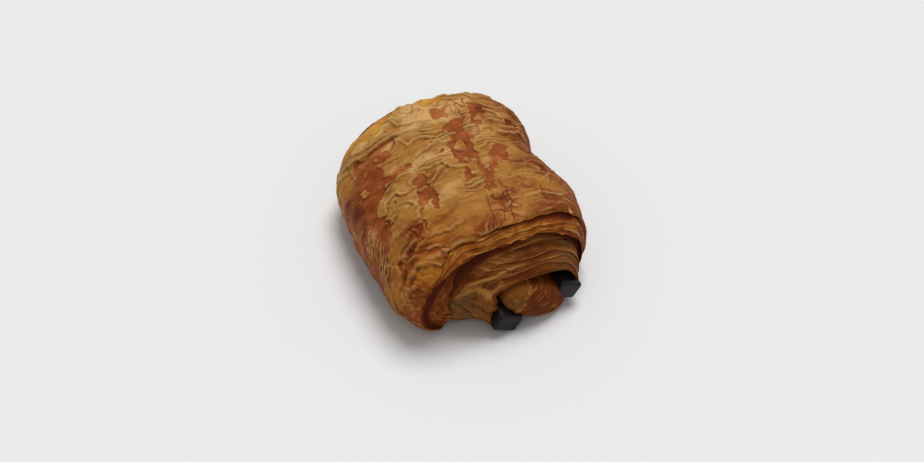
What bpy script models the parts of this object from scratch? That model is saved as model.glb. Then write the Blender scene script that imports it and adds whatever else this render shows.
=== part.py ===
"""A pain au chocolat: a sheet of laminated dough rolled round two chocolate sticks.

X runs across the roll, Y along it and Z up. The origin is the middle of the flat base.
Lengths are in millimetres until a mesh is made, where they become metres.
"""

import bmesh
import bpy
import numpy as np

MM = 0.001

# Outer form of the roll, seen from above and from the side: places along Y, and there
# the left side, the right side with its waist, the height and how square the left is.
STATIONS = (-44.0, -38.0, -29.0, -16.0, -4.0, 8.0, 24.0, 38.0, 47.0)
LEFT_SIDE = (-36.0, -41.0, -44.0, -45.2, -45.4, -45.2, -44.0, -41.0, -35.5)
RIGHT_SIDE = (34.5, 38.5, 41.8, 43.6, 41.6, 39.4, 41.0, 38.5, 33.5)
TOP_HEIGHT = (42.0, 43.8, 45.5, 46.0, 46.0, 45.6, 45.0, 43.6, 41.5)
LEFT_SQUARENESS = (1.6, 1.7, 1.85, 2.0, 2.05, 2.05, 2.0, 1.9, 1.85)
RIGHT_SQUARENESS = 2.25
BASE_SQUARENESS = 3.2
BASE_CUT = 1.6
WIDEST_HEIGHT = 16.0

# The outer wrap of dough: its thickness, where its crust ends, and how far its feet
# reach past that and its base falls short of it.
WRAP_THICKNESS = 9.0
NEAR_RIM = -38.5
FAR_RIM = 44.0
RIM_ROUND = 2.6
RIM_WAVE = 1.0
LEFT_FOOT_REACH = 5.5
RIGHT_FOOT_REACH = 2.5
BASE_SETBACK = 12.0

# The inner wrap: its middle line from the right flank over the top to the loose flap,
# seen from the near end, and its half thickness along that line. Each end reaches out
# to the first place at the wrap's outer face and to the second at its inner face.
INNER_LINE = (
    (32.3, 11.0), (30.2, 18.5), (23.5, 26.0), (13.5, 29.8), (3.0, 30.5),
    (-7.0, 28.5), (-14.5, 23.0), (-17.5, 15.0), (-14.5, 7.0), (-11.0, 1.2),
)
INNER_HALF = (1.4, 4.0, 5.6, 6.6, 7.0, 7.4, 8.6, 8.8, 5.8, 1.2)
NEAR_INNER_REACH = (41.0, 48.0)
FAR_INNER_REACH = (45.5, 51.0)
INNER_ROUND = 2.5
FLAP_REACH = 2.5
LIFT = 0.1

# The lobe between the sticks, where the dough's first fold lies.
LOBE_CENTRE = (7.0, 11.6)
LOBE_HALF = (15.2, 10.6)
NEAR_LOBE_REACH = 52.5
FAR_LOBE_REACH = 53.0
LOBE_DOME = 6.5
LOBE_FULLNESS = 0.8

# The body inside the wraps stops short of the ends.
CORE_DEPTH = 7.5
CORE_ROUND = 3.0
NEAR_CORE_REACH = -31.0
FAR_CORE_REACH = 36.0

# The chocolate sticks: their section, how the roll tilts them, and each one's place,
# its two ends along Y and how far its soft ends have sagged.
STICK_WIDTH = 10.0
STICK_HEIGHT = 6.6
STICK_ROUND = 1.3
STICK_END_SHARE = 0.88
STICK_STEPS = 15
ROLL_TILT = -31.0
STICKS = {
    "chocolate_stick_low": dict(centre=(-6.2, 8.4), ends=(-54.0, 54.0), sag=3.0),
    "chocolate_stick_high": dict(centre=(24.4, 10.6), ends=(-49.8, 53.0), sag=0.8),
}
SAG_START = 28.0
SAG_FULL = 54.0
CLEARANCE = 0.3

# Relief: low ridges across the crust, the places where its top sheet has flaked off,
# the crease at the waist, and the layers that show along a cut.
RIDGE_SPACING = 8.5
RIDGE_HEIGHT = 0.4
FLAKE_DEPTH = 0.7
CREASE_DEPTH = 1.1
LAYER_DEPTH = 0.9
LAYERS = 3

# How finely the forms are cut.
AROUND = 64
ALONG = 34
THROUGH = 9
INNER_STEPS = 30
LOBE_AROUND = 26
LOBE_RINGS = 7

DOUGH_COLOUR = (0.35, 0.17, 0.045)
DOUGH_ROUGHNESS = 0.75
CHOCOLATE_COLOUR = (0.018, 0.014, 0.012)
CHOCOLATE_ROUGHNESS = 0.4


def spline(knots, values):
    """Return a function for the natural cubic curve through the values at the knots."""
    knots, values = np.asarray(knots, float), np.asarray(values, float)
    step = np.diff(knots)
    slope = (np.diff(values, axis=0).T / step).T
    count = len(knots)
    system = np.eye(count)
    change = np.zeros_like(values)
    for i in range(1, count - 1):
        system[i, i - 1:i + 2] = step[i - 1], 2 * (step[i - 1] + step[i]), step[i]
        change[i] = 6 * (slope[i] - slope[i - 1])
    bend = np.linalg.solve(system, change)

    def curve(place):
        place = np.clip(np.asarray(place, float), knots[0], knots[-1])
        i = np.clip(np.searchsorted(knots, place) - 1, 0, count - 2)
        width = step[i]
        after = (place - knots[i]) / width
        before = 1 - after
        if values.ndim > 1:
            width, after, before = width[..., None], after[..., None], before[..., None]
        bow = (before**3 - before) * bend[i] + (after**3 - after) * bend[i + 1]
        return before * values[i] + after * values[i + 1] + bow * width**2 / 6

    return curve


left_side = spline(STATIONS, LEFT_SIDE)
right_side = spline(STATIONS, RIGHT_SIDE)
top_height = spline(STATIONS, TOP_HEIGHT)
left_squareness = spline(STATIONS, LEFT_SQUARENESS)


def smooth(low, high, value):
    """Rise smoothly from 0 at low to 1 at high."""
    share = np.clip((value - low) / (high - low), 0, 1)
    return share * share * (3 - 2 * share)


def outline(angle, y, depth=0.0):
    """Return X and Z of the roll's section at y, that deep under its surface.

    The angle is 0 at the right, a quarter turn at the top and a half turn at the left.
    """
    across, up = np.cos(angle), np.sin(angle)
    power = np.where(across < 0, left_squareness(y), RIGHT_SQUARENESS)
    power = np.where(up < 0, BASE_SQUARENESS, power)
    half = np.where(across < 0, -left_side(y), right_side(y)) - depth
    x = np.sign(across) * half * np.abs(across) ** (2 / power)
    rise = np.abs(up) ** (2 / power)
    above = WIDEST_HEIGHT + (top_height(y) - depth - WIDEST_HEIGHT) * rise
    below = WIDEST_HEIGHT - (WIDEST_HEIGHT + BASE_CUT - depth) * rise
    return x, np.where(up >= 0, above, np.maximum(below, depth))


def even_angles(count):
    """Return angles that share the section's length evenly, from the middle of the base."""
    angle = np.linspace(-np.pi / 2, 1.5 * np.pi, 2001)
    x, z = outline(angle, 0.0)
    run = np.concatenate([[0], np.cumsum(np.hypot(np.diff(x), np.diff(z)))])
    return np.interp(np.arange(count) * run[-1] / count, run, angle)


def crust_relief(angle, y):
    """Return how far the crust stands out at an angle and a place along the roll."""
    wander = 2.2 * np.sin(3 * angle + 0.05 * y) + 1.2 * np.sin(5 * angle - 1.3)
    ridges = RIDGE_HEIGHT * np.sin(2 * np.pi * (y + wander) / RIDGE_SPACING)
    crack_line = 1.42 + 0.05 * np.sin(y / 6)
    crack = np.exp(-(((angle - crack_line) / 0.11) ** 2)) * smooth(-32, -20, y)
    patch = np.exp(-(((angle - 2.45) / 0.22) ** 2) - ((y - 14) / 11) ** 2)
    crease_line = 12 - 4 * angle
    crease = np.exp(-(((y - crease_line) / 4) ** 2)) * smooth(1.3, 0.3, angle)
    relief = ridges - FLAKE_DEPTH * (crack + patch) - CREASE_DEPTH * crease
    return relief * smooth(-0.75, -0.35, np.sin(angle))


def layers(through, place, phase):
    """Return how far the dough's layers stand back along a cut, from face to face."""
    sway = 0.25 * np.sin(2 * place + phase)
    groove = 1 - np.abs(np.sin(np.pi * (LAYERS * through + sway)))
    return LAYER_DEPTH * groove * smooth(0, 0.12, through) * smooth(1, 0.88, through)


def closed_object(name, rows, ring, material):
    """Make a closed mesh object of loops of points, one loop a row.

    A ring joins its last loop to its first; otherwise both end loops are capped.
    """
    bm = bmesh.new()
    loops = [[bm.verts.new(point * MM) for point in row] for row in rows]
    pairs = list(zip(loops, loops[1:]))
    if ring:
        pairs.append((loops[-1], loops[0]))
    for first, second in pairs:
        for i in range(len(first)):
            j = (i + 1) % len(first)
            bm.faces.new((first[i], first[j], second[j], second[i]))
    if not ring:
        for loop in (loops[0], loops[-1]):
            bmesh.ops.poke(bm, faces=[bm.faces.new(loop)])
    bmesh.ops.triangulate(bm, faces=bm.faces)
    bmesh.ops.recalc_face_normals(bm, faces=bm.faces)
    mesh = bpy.data.meshes.new(name)
    bm.to_mesh(mesh)
    bm.free()
    mesh.materials.append(material)
    obj = bpy.data.objects.new(name, mesh)
    bpy.context.scene.collection.objects.link(obj)
    return obj


def section(x, y, z):
    """Return the points of one loop that lies across the roll."""
    return np.stack([x, np.broadcast_to(y, np.shape(x)), z], axis=1)


def rim_place(rim, angle):
    """Return the crust's edge along Y at an angle: wavy, and drawn in under the base."""
    left, low = np.cos(angle) < 0, np.sin(angle)
    wave = RIM_WAVE * (np.sin(3 * angle + rim) + 0.6 * np.sin(7 * angle - rim))
    foot = np.where(left, LEFT_FOOT_REACH, RIGHT_FOOT_REACH) * smooth(0.4, -0.8, low)
    under = np.where(left, smooth(-0.88, -0.97, low), smooth(-0.1, -0.85, low))
    return rim + np.sign(rim) * ((wave + foot) * (1 - under) - BASE_SETBACK * under)


def outer_wrap(material):
    """Make the outer wrap, a ring of dough whose ends show its layers."""
    through = np.linspace(0, 1, THROUGH)
    depth = through * WRAP_THICKNESS
    rounding = RIM_ROUND * (1 - smooth(0, 0.3, through))
    run = np.linspace(0, 1, ALONG)[1:-1]
    rows = []
    for angle in even_angles(AROUND):
        near = rim_place(NEAR_RIM, angle) + rounding + layers(through, angle, 0.0)
        far = rim_place(FAR_RIM, angle) - rounding - layers(through, angle, 2.0)
        along = near[0] + (far[0] - near[0]) * run
        y = np.concatenate([along, far, near[::-1]])
        x, z = outline(angle, y, np.concatenate([-crust_relief(angle, along), depth, depth[::-1]]))
        rows.append(section(x, y, z))
    return closed_object("pastry", rows, True, material)


def inner_wrap(material):
    """Make the inner wrap, from the right flank over the lobe and down into the flap."""
    knots = np.linspace(0, 1, len(INNER_LINE))
    line, half = spline(knots, INNER_LINE), spline(knots, INNER_HALF)
    through = np.linspace(0, 1, THROUGH)
    inside = smooth(0, 0.95, through)
    rounding = INNER_ROUND * np.abs(2 * through - 1) ** 6
    rows = []
    for place in np.linspace(0, 1, INNER_STEPS):
        ahead = line(min(place + 0.01, 1)) - line(max(place - 0.01, 0))
        inward = np.array([-ahead[1], ahead[0]]) / np.hypot(*ahead)
        flap = smooth(0.55, 0.85, place) * FLAP_REACH
        back = rounding + layers(through, 6 * place, 1.0)
        near, far = (
            outside + (deepest + flap - outside) * inside - back
            for outside, deepest in (NEAR_INNER_REACH, FAR_INNER_REACH)
        )
        across = (2 * np.concatenate([through, through[::-1]]) - 1) * half(place)
        x, z = (line(place)[:, None] + inward[:, None] * across)
        rows.append(section(x, np.concatenate([-near, far[::-1]]), np.maximum(z, LIFT)))
    return closed_object("inner_wrap", rows, False, material)


def tilted(centre, a, b):
    """Return X and Z of places a along and b across the tilted roll from its centre."""
    tilt = np.radians(ROLL_TILT)
    x = centre[0] + a * np.cos(tilt) - b * np.sin(tilt)
    z = centre[1] + a * np.sin(tilt) + b * np.cos(tilt)
    return x, z


def lobe(material):
    """Make the lobe between the sticks, an oval roll with domed ends."""
    turn = np.linspace(0, 2 * np.pi, LOBE_AROUND, endpoint=False)
    ring = np.linspace(0.14, 0.5, LOBE_RINGS) * np.pi
    sizes = np.sin(ring) ** LOBE_FULLNESS
    drop = LOBE_DOME * (1 - np.cos(ring) ** LOBE_FULLNESS)
    near, far = drop - NEAR_LOBE_REACH, FAR_LOBE_REACH - drop
    rows = []
    for size, y in [*zip(sizes, near), *zip(sizes[::-1], far[::-1])]:
        x, z = tilted(LOBE_CENTRE, LOBE_HALF[0] * size * np.cos(turn), LOBE_HALF[1] * size * np.sin(turn))
        rows.append(section(x, y, np.maximum(z, LIFT)))
    return closed_object("lobe", rows, False, material)


def core(material):
    """Make the body inside the wraps, rounded at its two ends."""
    angles = even_angles(AROUND // 2)
    near, far = NEAR_CORE_REACH, FAR_CORE_REACH
    places = (near, near + CORE_ROUND, 0, far - CORE_ROUND, far)
    rows = []
    for y in places:
        shrink = CORE_ROUND if y in (near, far) else 0
        x, z = outline(angles, y, CORE_DEPTH + shrink)
        rows.append(section(x, y, z))
    return closed_object("core", rows, False, material)


def stick(name, centre, ends, sag, material, grow=0.0):
    """Make a chocolate stick, rounded along its edges, grown by that much all round."""
    arc = np.radians([0, 45, 90])
    a, b = [], []
    for quarter, (side, top) in enumerate(((1, 1), (-1, 1), (-1, -1), (1, -1))):
        turn = arc + quarter * np.pi / 2
        a.append(side * (STICK_WIDTH / 2 + grow - STICK_ROUND) + STICK_ROUND * np.cos(turn))
        b.append(top * (STICK_HEIGHT / 2 + grow - STICK_ROUND) + STICK_ROUND * np.sin(turn))
    a, b = np.concatenate(a), np.concatenate(b)
    near, far = ends[0] - grow, ends[1] + grow
    edge = STICK_ROUND / 3
    rows = []
    for y in (near, *np.linspace(near + edge, far - edge, STICK_STEPS), far):
        share = STICK_END_SHARE if y in (near, far) else 1.0
        x, z = tilted(centre, a * share, b * share)
        soft = max((abs(y) - SAG_START) / (SAG_FULL - SAG_START), 0)
        rows.append(section(x, y, z - sag * soft**2))
    return closed_object(name, rows, False, material)


def plain_material(name, colour, roughness):
    """Return a material of one colour."""
    material = bpy.data.materials.new(name)
    material.use_nodes = True
    shader = material.node_tree.nodes["Principled BSDF"]
    shader.inputs["Base Color"].default_value = (*colour, 1)
    shader.inputs["Roughness"].default_value = roughness
    shader.inputs["Metallic"].default_value = 0
    return material


def apply_boolean(obj, operation, others):
    """Join the others to an object or cut them from it, and remove them."""
    collection = bpy.data.collections.new(operation.lower())
    bpy.context.scene.collection.children.link(collection)
    for other in others:
        bpy.context.scene.collection.objects.unlink(other)
        collection.objects.link(other)
    modifier = obj.modifiers.new(operation.lower(), "BOOLEAN")
    modifier.operation = operation
    modifier.operand_type = "COLLECTION"
    modifier.collection = collection
    bpy.context.view_layer.objects.active = obj
    bpy.ops.object.modifier_apply(modifier=modifier.name)
    for other in others:
        bpy.data.objects.remove(other)
    bpy.data.collections.remove(collection)


def main():
    """Build the rolled dough and the two sticks in it."""
    for obj in list(bpy.data.objects):
        bpy.data.objects.remove(obj)
    dough = plain_material("baked_dough", DOUGH_COLOUR, DOUGH_ROUGHNESS)
    chocolate = plain_material("dark_chocolate", CHOCOLATE_COLOUR, CHOCOLATE_ROUGHNESS)
    pastry = outer_wrap(dough)
    apply_boolean(pastry, "UNION", [core(dough), inner_wrap(dough), lobe(dough)])
    channels = []
    for name, sizes in STICKS.items():
        channels.append(stick(name + "_channel", material=dough, grow=CLEARANCE, **sizes))
    apply_boolean(pastry, "DIFFERENCE", channels)
    for name, sizes in STICKS.items():
        stick(name, material=chocolate, **sizes)


main()
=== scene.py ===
"""Looks of a pain au chocolat: a flaky crust with bare patches, layered ends, two chocolate sticks.

X runs across the roll, Y along it and Z up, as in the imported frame. Sizes here are in
millimetres, and a mesh gets them in metres. A place on the crust is its girth, measured round
the roll from the middle of its top, positive to the left, and its place along Y.
"""

import logging
import math
from collections.abc import Iterator
from contextlib import contextmanager
from dataclasses import dataclass, field
from enum import Enum

import bpy
import numpy as np
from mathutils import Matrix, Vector


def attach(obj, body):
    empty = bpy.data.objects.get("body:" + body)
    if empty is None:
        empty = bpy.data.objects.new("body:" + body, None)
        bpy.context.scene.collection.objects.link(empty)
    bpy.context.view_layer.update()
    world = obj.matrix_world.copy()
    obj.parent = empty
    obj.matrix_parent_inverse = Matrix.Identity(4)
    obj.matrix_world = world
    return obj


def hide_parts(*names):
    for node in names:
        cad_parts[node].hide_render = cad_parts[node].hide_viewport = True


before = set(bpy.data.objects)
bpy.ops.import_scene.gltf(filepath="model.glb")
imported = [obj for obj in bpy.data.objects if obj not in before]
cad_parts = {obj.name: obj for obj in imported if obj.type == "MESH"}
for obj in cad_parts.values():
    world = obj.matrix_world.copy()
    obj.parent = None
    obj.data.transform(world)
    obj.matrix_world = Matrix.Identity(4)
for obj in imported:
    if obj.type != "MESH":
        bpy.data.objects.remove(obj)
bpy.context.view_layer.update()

MM = 0.001
BODY = "root"
FAR_OFF = 99.0
PRIMES = (374761393, 668265263, 9746347, 1274126177)
WORD = 0xFFFFFFFF
HALF_WORD = 0xFFFF

Array = np.ndarray
Outline = tuple[tuple[float, float], ...]
Colour = tuple[float, float, float]
Socket = bpy.types.NodeSocket

log = logging.getLogger("pastry")


class End(Enum):
    """An end of the roll, by the direction of Y in which it faces."""

    NEAR = -1
    FAR = 1


class Slot(Enum):
    """The record's material slots."""

    DOUGH = "baked_dough"
    CHOCOLATE = "dark_chocolate"


def rise(low: float, high: float, value: Array) -> Array:
    """Rise smoothly from 0 at low to 1 at high.

    Args:
        low: The value where the rise starts.
        high: The value where it ends.
        value: Where to read it.

    Returns:
        Numbers from 0 to 1.
    """
    share = np.clip((value - low) / (high - low), 0, 1)
    return share * share * (3 - 2 * share)


def bump(middle: float, width: float, value: Array) -> Array:
    """Return a soft hump of height 1 about a middle."""
    return np.exp(-(((value - middle) / width) ** 2))


@dataclass(eq=False)
class Spline:
    """A natural cubic curve through values at knots."""

    knots: tuple[float, ...]
    values: tuple[float, ...] | Outline

    def __post_init__(self) -> None:
        """Work out how strongly the curve bends at each knot."""
        self.place, self.level = np.asarray(self.knots, float), np.asarray(self.values, float)
        self.step = np.diff(self.place)
        slope = (np.diff(self.level, axis=0).T / self.step).T
        system, change = np.eye(len(self.place)), np.zeros_like(self.level)
        for i in range(1, len(self.place) - 1):
            before, after = self.step[i - 1], self.step[i]
            system[i, i - 1:i + 2] = before, 2 * (before + after), after
            change[i] = 6 * (slope[i] - slope[i - 1])
        self.bend = np.linalg.solve(system, change)

    def __call__(self, where: Array) -> Array:
        """Read the curve.

        Args:
            where: Places along it, held at its ends outside the knots.

        Returns:
            The curve's values there.
        """
        where = np.clip(np.asarray(where, float), self.place[0], self.place[-1])
        i = np.clip(np.searchsorted(self.place, where) - 1, 0, len(self.step) - 1)
        width = self.step[i]
        after = (where - self.place[i]) / width
        before = 1 - after
        if self.level.ndim > 1:
            width, after, before = width[..., None], after[..., None], before[..., None]
        bow = (before**3 - before) * self.bend[i] + (after**3 - after) * self.bend[i + 1]
        return before * self.level[i] + after * self.level[i + 1] + bow * width**2 / 6


@dataclass(frozen=True)
class Chance:
    """Seeded patterns over a plane: soft swells, and cells as in a dried, cracked skin."""

    seed: int

    def draw(self, i: Array, j: Array, turn: int = 0) -> Array:
        """Draw a number for each pair of whole numbers, the same each time.

        Args:
            i: The first numbers.
            j: The second numbers.
            turn: Which of several draws for the same pair.

        Returns:
            Numbers from 0 to 1.
        """
        first, second, third, last = PRIMES
        mixed = (i * first + j * second + (self.seed * 31 + turn) * third) & WORD
        mixed = ((mixed ^ (mixed >> 13)) * last) & WORD
        return ((mixed ^ (mixed >> 16)) & HALF_WORD) / HALF_WORD

    def swell(self, u: Array, v: Array) -> Array:
        """Make smooth noise, one swell to a unit of u and v.

        Args:
            u: Places along the first axis.
            v: Places along the second axis.

        Returns:
            Values of about -1 to 1.
        """
        u, v = np.broadcast_arrays(np.asarray(u, float), np.asarray(v, float))
        i, j = np.floor(u).astype(np.int64), np.floor(v).astype(np.int64)
        s, t = u - i, v - j
        fade_s, fade_t = (w**3 * (w * (6 * w - 15) + 10) for w in (s, t))
        total = np.zeros(u.shape)
        for di, weight_s in ((0, 1 - fade_s), (1, fade_s)):
            for dj, weight_t in ((0, 1 - fade_t), (1, fade_t)):
                angle = 2 * np.pi * self.draw(i + di, j + dj)
                slope = np.cos(angle) * (s - di) + np.sin(angle) * (t - dj)
                total += slope * weight_s * weight_t
        return 1.5 * total

    def rough(self, u: Array, v: Array, octaves: int = 3) -> Array:
        """Return swells with finer, weaker ones on top."""
        return sum(self.swell(u * 2**k + 17 * k, v * 2**k - 11 * k) / 2**k for k in range(octaves))

    def cells(self, u: Array, v: Array) -> tuple[Array, Array]:
        """Split the plane into cells about a unit across.

        Args:
            u: Places along the first axis.
            v: Places along the second axis.

        Returns:
            How far each place is from its cell's edge, and a number from 0 to 1 for its cell.
        """
        u, v = np.broadcast_arrays(np.asarray(u, float), np.asarray(v, float))
        i, j = np.floor(u).astype(np.int64), np.floor(v).astype(np.int64)
        first, second = ([np.full(u.shape, start) for start in (9.0, 9.0, FAR_OFF)] for _ in range(2))
        lot = np.zeros(u.shape)
        for di in (-1, 0, 1):
            for dj in (-1, 0, 1):
                a, b = i + di, j + dj
                x = a + 0.1 + 0.8 * self.draw(a, b, 1) - u
                y = b + 0.1 + 0.8 * self.draw(a, b, 2) - v
                far = x * x + y * y
                nearest = far < first[2]
                next_one = ~nearest & (far < second[2])
                for k, new in enumerate((x, y, far)):
                    second[k] = np.where(nearest, first[k], np.where(next_one, new, second[k]))
                    first[k] = np.where(nearest, new, first[k])
                lot = np.where(nearest, self.draw(a, b, 3), lot)
        apart_x, apart_y = second[0] - first[0], second[1] - first[1]
        apart = np.hypot(apart_x, apart_y) + 1e-9
        middle = ((first[0] + second[0]) * apart_x + (first[1] + second[1]) * apart_y) / 2
        return middle / apart, lot


def edge_distance(outline: Outline, u: Array, v: Array) -> Array:
    """Return how far places are from a closed outline, negative inside it.

    Args:
        outline: The outline's corners.
        u: Places along the first axis.
        v: Places along the second axis.

    Returns:
        The distances in the outline's units.
    """
    nearest, inside = np.full(u.shape, 1e9), np.zeros(u.shape, bool)
    for (au, av), (bu, bv) in zip(outline, outline[1:] + outline[:1]):
        du, dv = bu - au, bv - av
        share = np.clip(((u - au) * du + (v - av) * dv) / (du * du + dv * dv), 0, 1)
        nearest = np.minimum(nearest, np.hypot(u - au - share * du, v - av - share * dv))
        if av != bv:
            crosses = (av > v) != (bv > v)
            inside ^= crosses & (u < au + (v - av) * du / dv)
    return np.where(inside, -nearest, nearest)


def nearest_edge(outlines: tuple[Outline, ...], u: Array, v: Array) -> Array:
    """Return how far places are from the nearest of some outlines, negative inside one.

    Args:
        outlines: The outlines' corners.
        u: Places along the first axis.
        v: Places along the second axis.

    Returns:
        The distances in the outlines' units.
    """
    nearest = np.full(np.shape(u), FAR_OFF)
    for outline in outlines:
        nearest = np.minimum(nearest, edge_distance(outline, u, v))
    return nearest


@dataclass
class RollForm:
    """The outer form of the roll, as the solid has it."""

    stations: tuple[float, ...] = (-44, -38, -29, -16, -4, 8, 24, 38, 47)
    left_side: tuple[float, ...] = (-36.2, -40.4, -43.4, -44.8, -45.2, -45.2, -43.6, -39.6, -34)
    right_side: tuple[float, ...] = (34.5, 38.5, 41.8, 43.2, 40.4, 40.0, 43.4, 41.2, 36)
    top_height: tuple[float, ...] = (42, 43.8, 45.5, 46, 46, 45.6, 45.2, 44.2, 42.2)
    left_squareness: tuple[float, ...] = (2.1, 2.0, 1.9, 2, 2.05, 2.05, 2, 1.9, 1.85)
    right_squareness: float = 2.25
    base_squareness: float = 3.2
    base_cut: float = 1.6
    widest_height: float = 16.0
    table_steps: int = 4000

    def __post_init__(self) -> None:
        """Make the curves along the roll, and the table from angle to girth."""
        self.left = Spline(self.stations, self.left_side)
        self.right = Spline(self.stations, self.right_side)
        self.top = Spline(self.stations, self.top_height)
        self.left_power = Spline(self.stations, self.left_squareness)
        self.table_angle = np.linspace(-np.pi / 2, 1.5 * np.pi, self.table_steps + 1)
        x, z = self.outline(self.table_angle, 0.0)
        run = np.concatenate([[0], np.cumsum(np.hypot(np.diff(x), np.diff(z)))])
        self.table_girth = run - np.interp(np.pi / 2, self.table_angle, run)

    def outline(self, angle: Array, y: Array, depth: Array = 0.0) -> tuple[Array, Array]:
        """Return X and Z of the roll's section.

        Args:
            angle: 0 at the right, a quarter turn at the top, a half turn at the left.
            y: The place along the roll.
            depth: How deep under the surface.

        Returns:
            X and Z.
        """
        across, up = np.cos(angle), np.sin(angle)
        power = np.where(across < 0, self.left_power(y), self.right_squareness)
        power = np.where(up < 0, self.base_squareness, power)
        half = np.where(across < 0, -self.left(y), self.right(y)) - depth
        x = np.sign(across) * half * np.abs(across) ** (2 / power)
        up_share = np.abs(up) ** (2 / power)
        above = self.widest_height + (self.top(y) - depth - self.widest_height) * up_share
        below = self.widest_height - (self.widest_height + self.base_cut - depth) * up_share
        return x, np.where(up >= 0, above, np.maximum(below, depth))

    def angle_at(self, girth: Array) -> Array:
        """Return the angle of a girth."""
        return np.interp(girth, self.table_girth, self.table_angle)

    def columns(self, count: int, shown: float = 80.0, coarse: float = 4.0) -> Array:
        """Share columns out round the roll, closer together where the crust shows.

        Args:
            count: How many columns.
            shown: The girth, each way, up to which the crust shows.
            coarse: How many times wider the columns are beyond that.

        Returns:
            Girths, rising, of a closed ring.
        """
        girth = np.linspace(self.table_girth[0], self.table_girth[-1], 3001)
        density = np.where(np.abs(girth) < shown, 1.0, 1 / coarse)
        run = np.concatenate([[0], np.cumsum(density[1:])])
        return np.interp(np.arange(count) * run[-1] / count, run, girth)


FORM = RollForm()


@dataclass(frozen=True)
class Fold:
    """A sheet's edge that stands out along a line, steep to the right of it and soft to the left."""

    line: Outline
    high: float
    soft: float = 3.0
    steep: float = 0.35

    def height(self, u: Array, v: Array) -> Array:
        """Return how far the fold stands out, which fades towards both its ends.

        Args:
            u: Places along the first axis.
            v: Places along the second axis.

        Returns:
            Heights in millimetres.
        """
        nearest, side, along = np.full(u.shape, FAR_OFF**2), np.zeros(u.shape), np.zeros(u.shape)
        start = 0.0
        for (au, av), (bu, bv) in zip(self.line, self.line[1:]):
            du, dv = bu - au, bv - av
            length = math.hypot(du, dv)
            share = np.clip(((u - au) * du + (v - av) * dv) / length**2, 0, 1)
            away = np.hypot(u - au - share * du, v - av - share * dv)
            side = np.where(away < nearest, du * (v - av) - dv * (u - au), side)
            along = np.where(away < nearest, start + share * length, along)
            nearest, start = np.minimum(away, nearest), start + length
        fade = np.sqrt(np.clip(np.sin(np.pi * along / start), 0, 1))
        slope = np.where(side > 0, np.exp(-nearest / self.soft), bump(0, self.steep, nearest))
        return self.high * fade * slope


@dataclass(frozen=True)
class Rise:
    """A smooth change from 0 to 1 between two places."""

    low: float
    high: float

    def __call__(self, value: Array) -> Array:
        """Return the share, from 0 to 1, at places."""
        return rise(self.low, self.high, value)


@dataclass(frozen=True)
class Hump:
    """A soft hump of height 1 about a middle."""

    middle: float
    width: float

    def __call__(self, value: Array) -> Array:
        """Return the share, from 0 to 1, at places."""
        return bump(self.middle, self.width, value)


@dataclass(frozen=True)
class Zone:
    """A part of the crust with soft edges, and how much browner than the rest it is."""

    toast: float
    girth: Rise | Hump | None = None
    y: Rise | Hump | None = None

    def at(self, girth: Array, y: Array) -> Array:
        """Return how much browner the crust is.

        Args:
            girth: Girths on the crust.
            y: Places along it.

        Returns:
            Amounts of browning, negative where it is paler.
        """
        share = np.full(np.shape(girth), self.toast)
        for edge, places in ((self.girth, girth), (self.y, y)):
            if edge is not None:
                share = share * edge(places)
        return share


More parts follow.
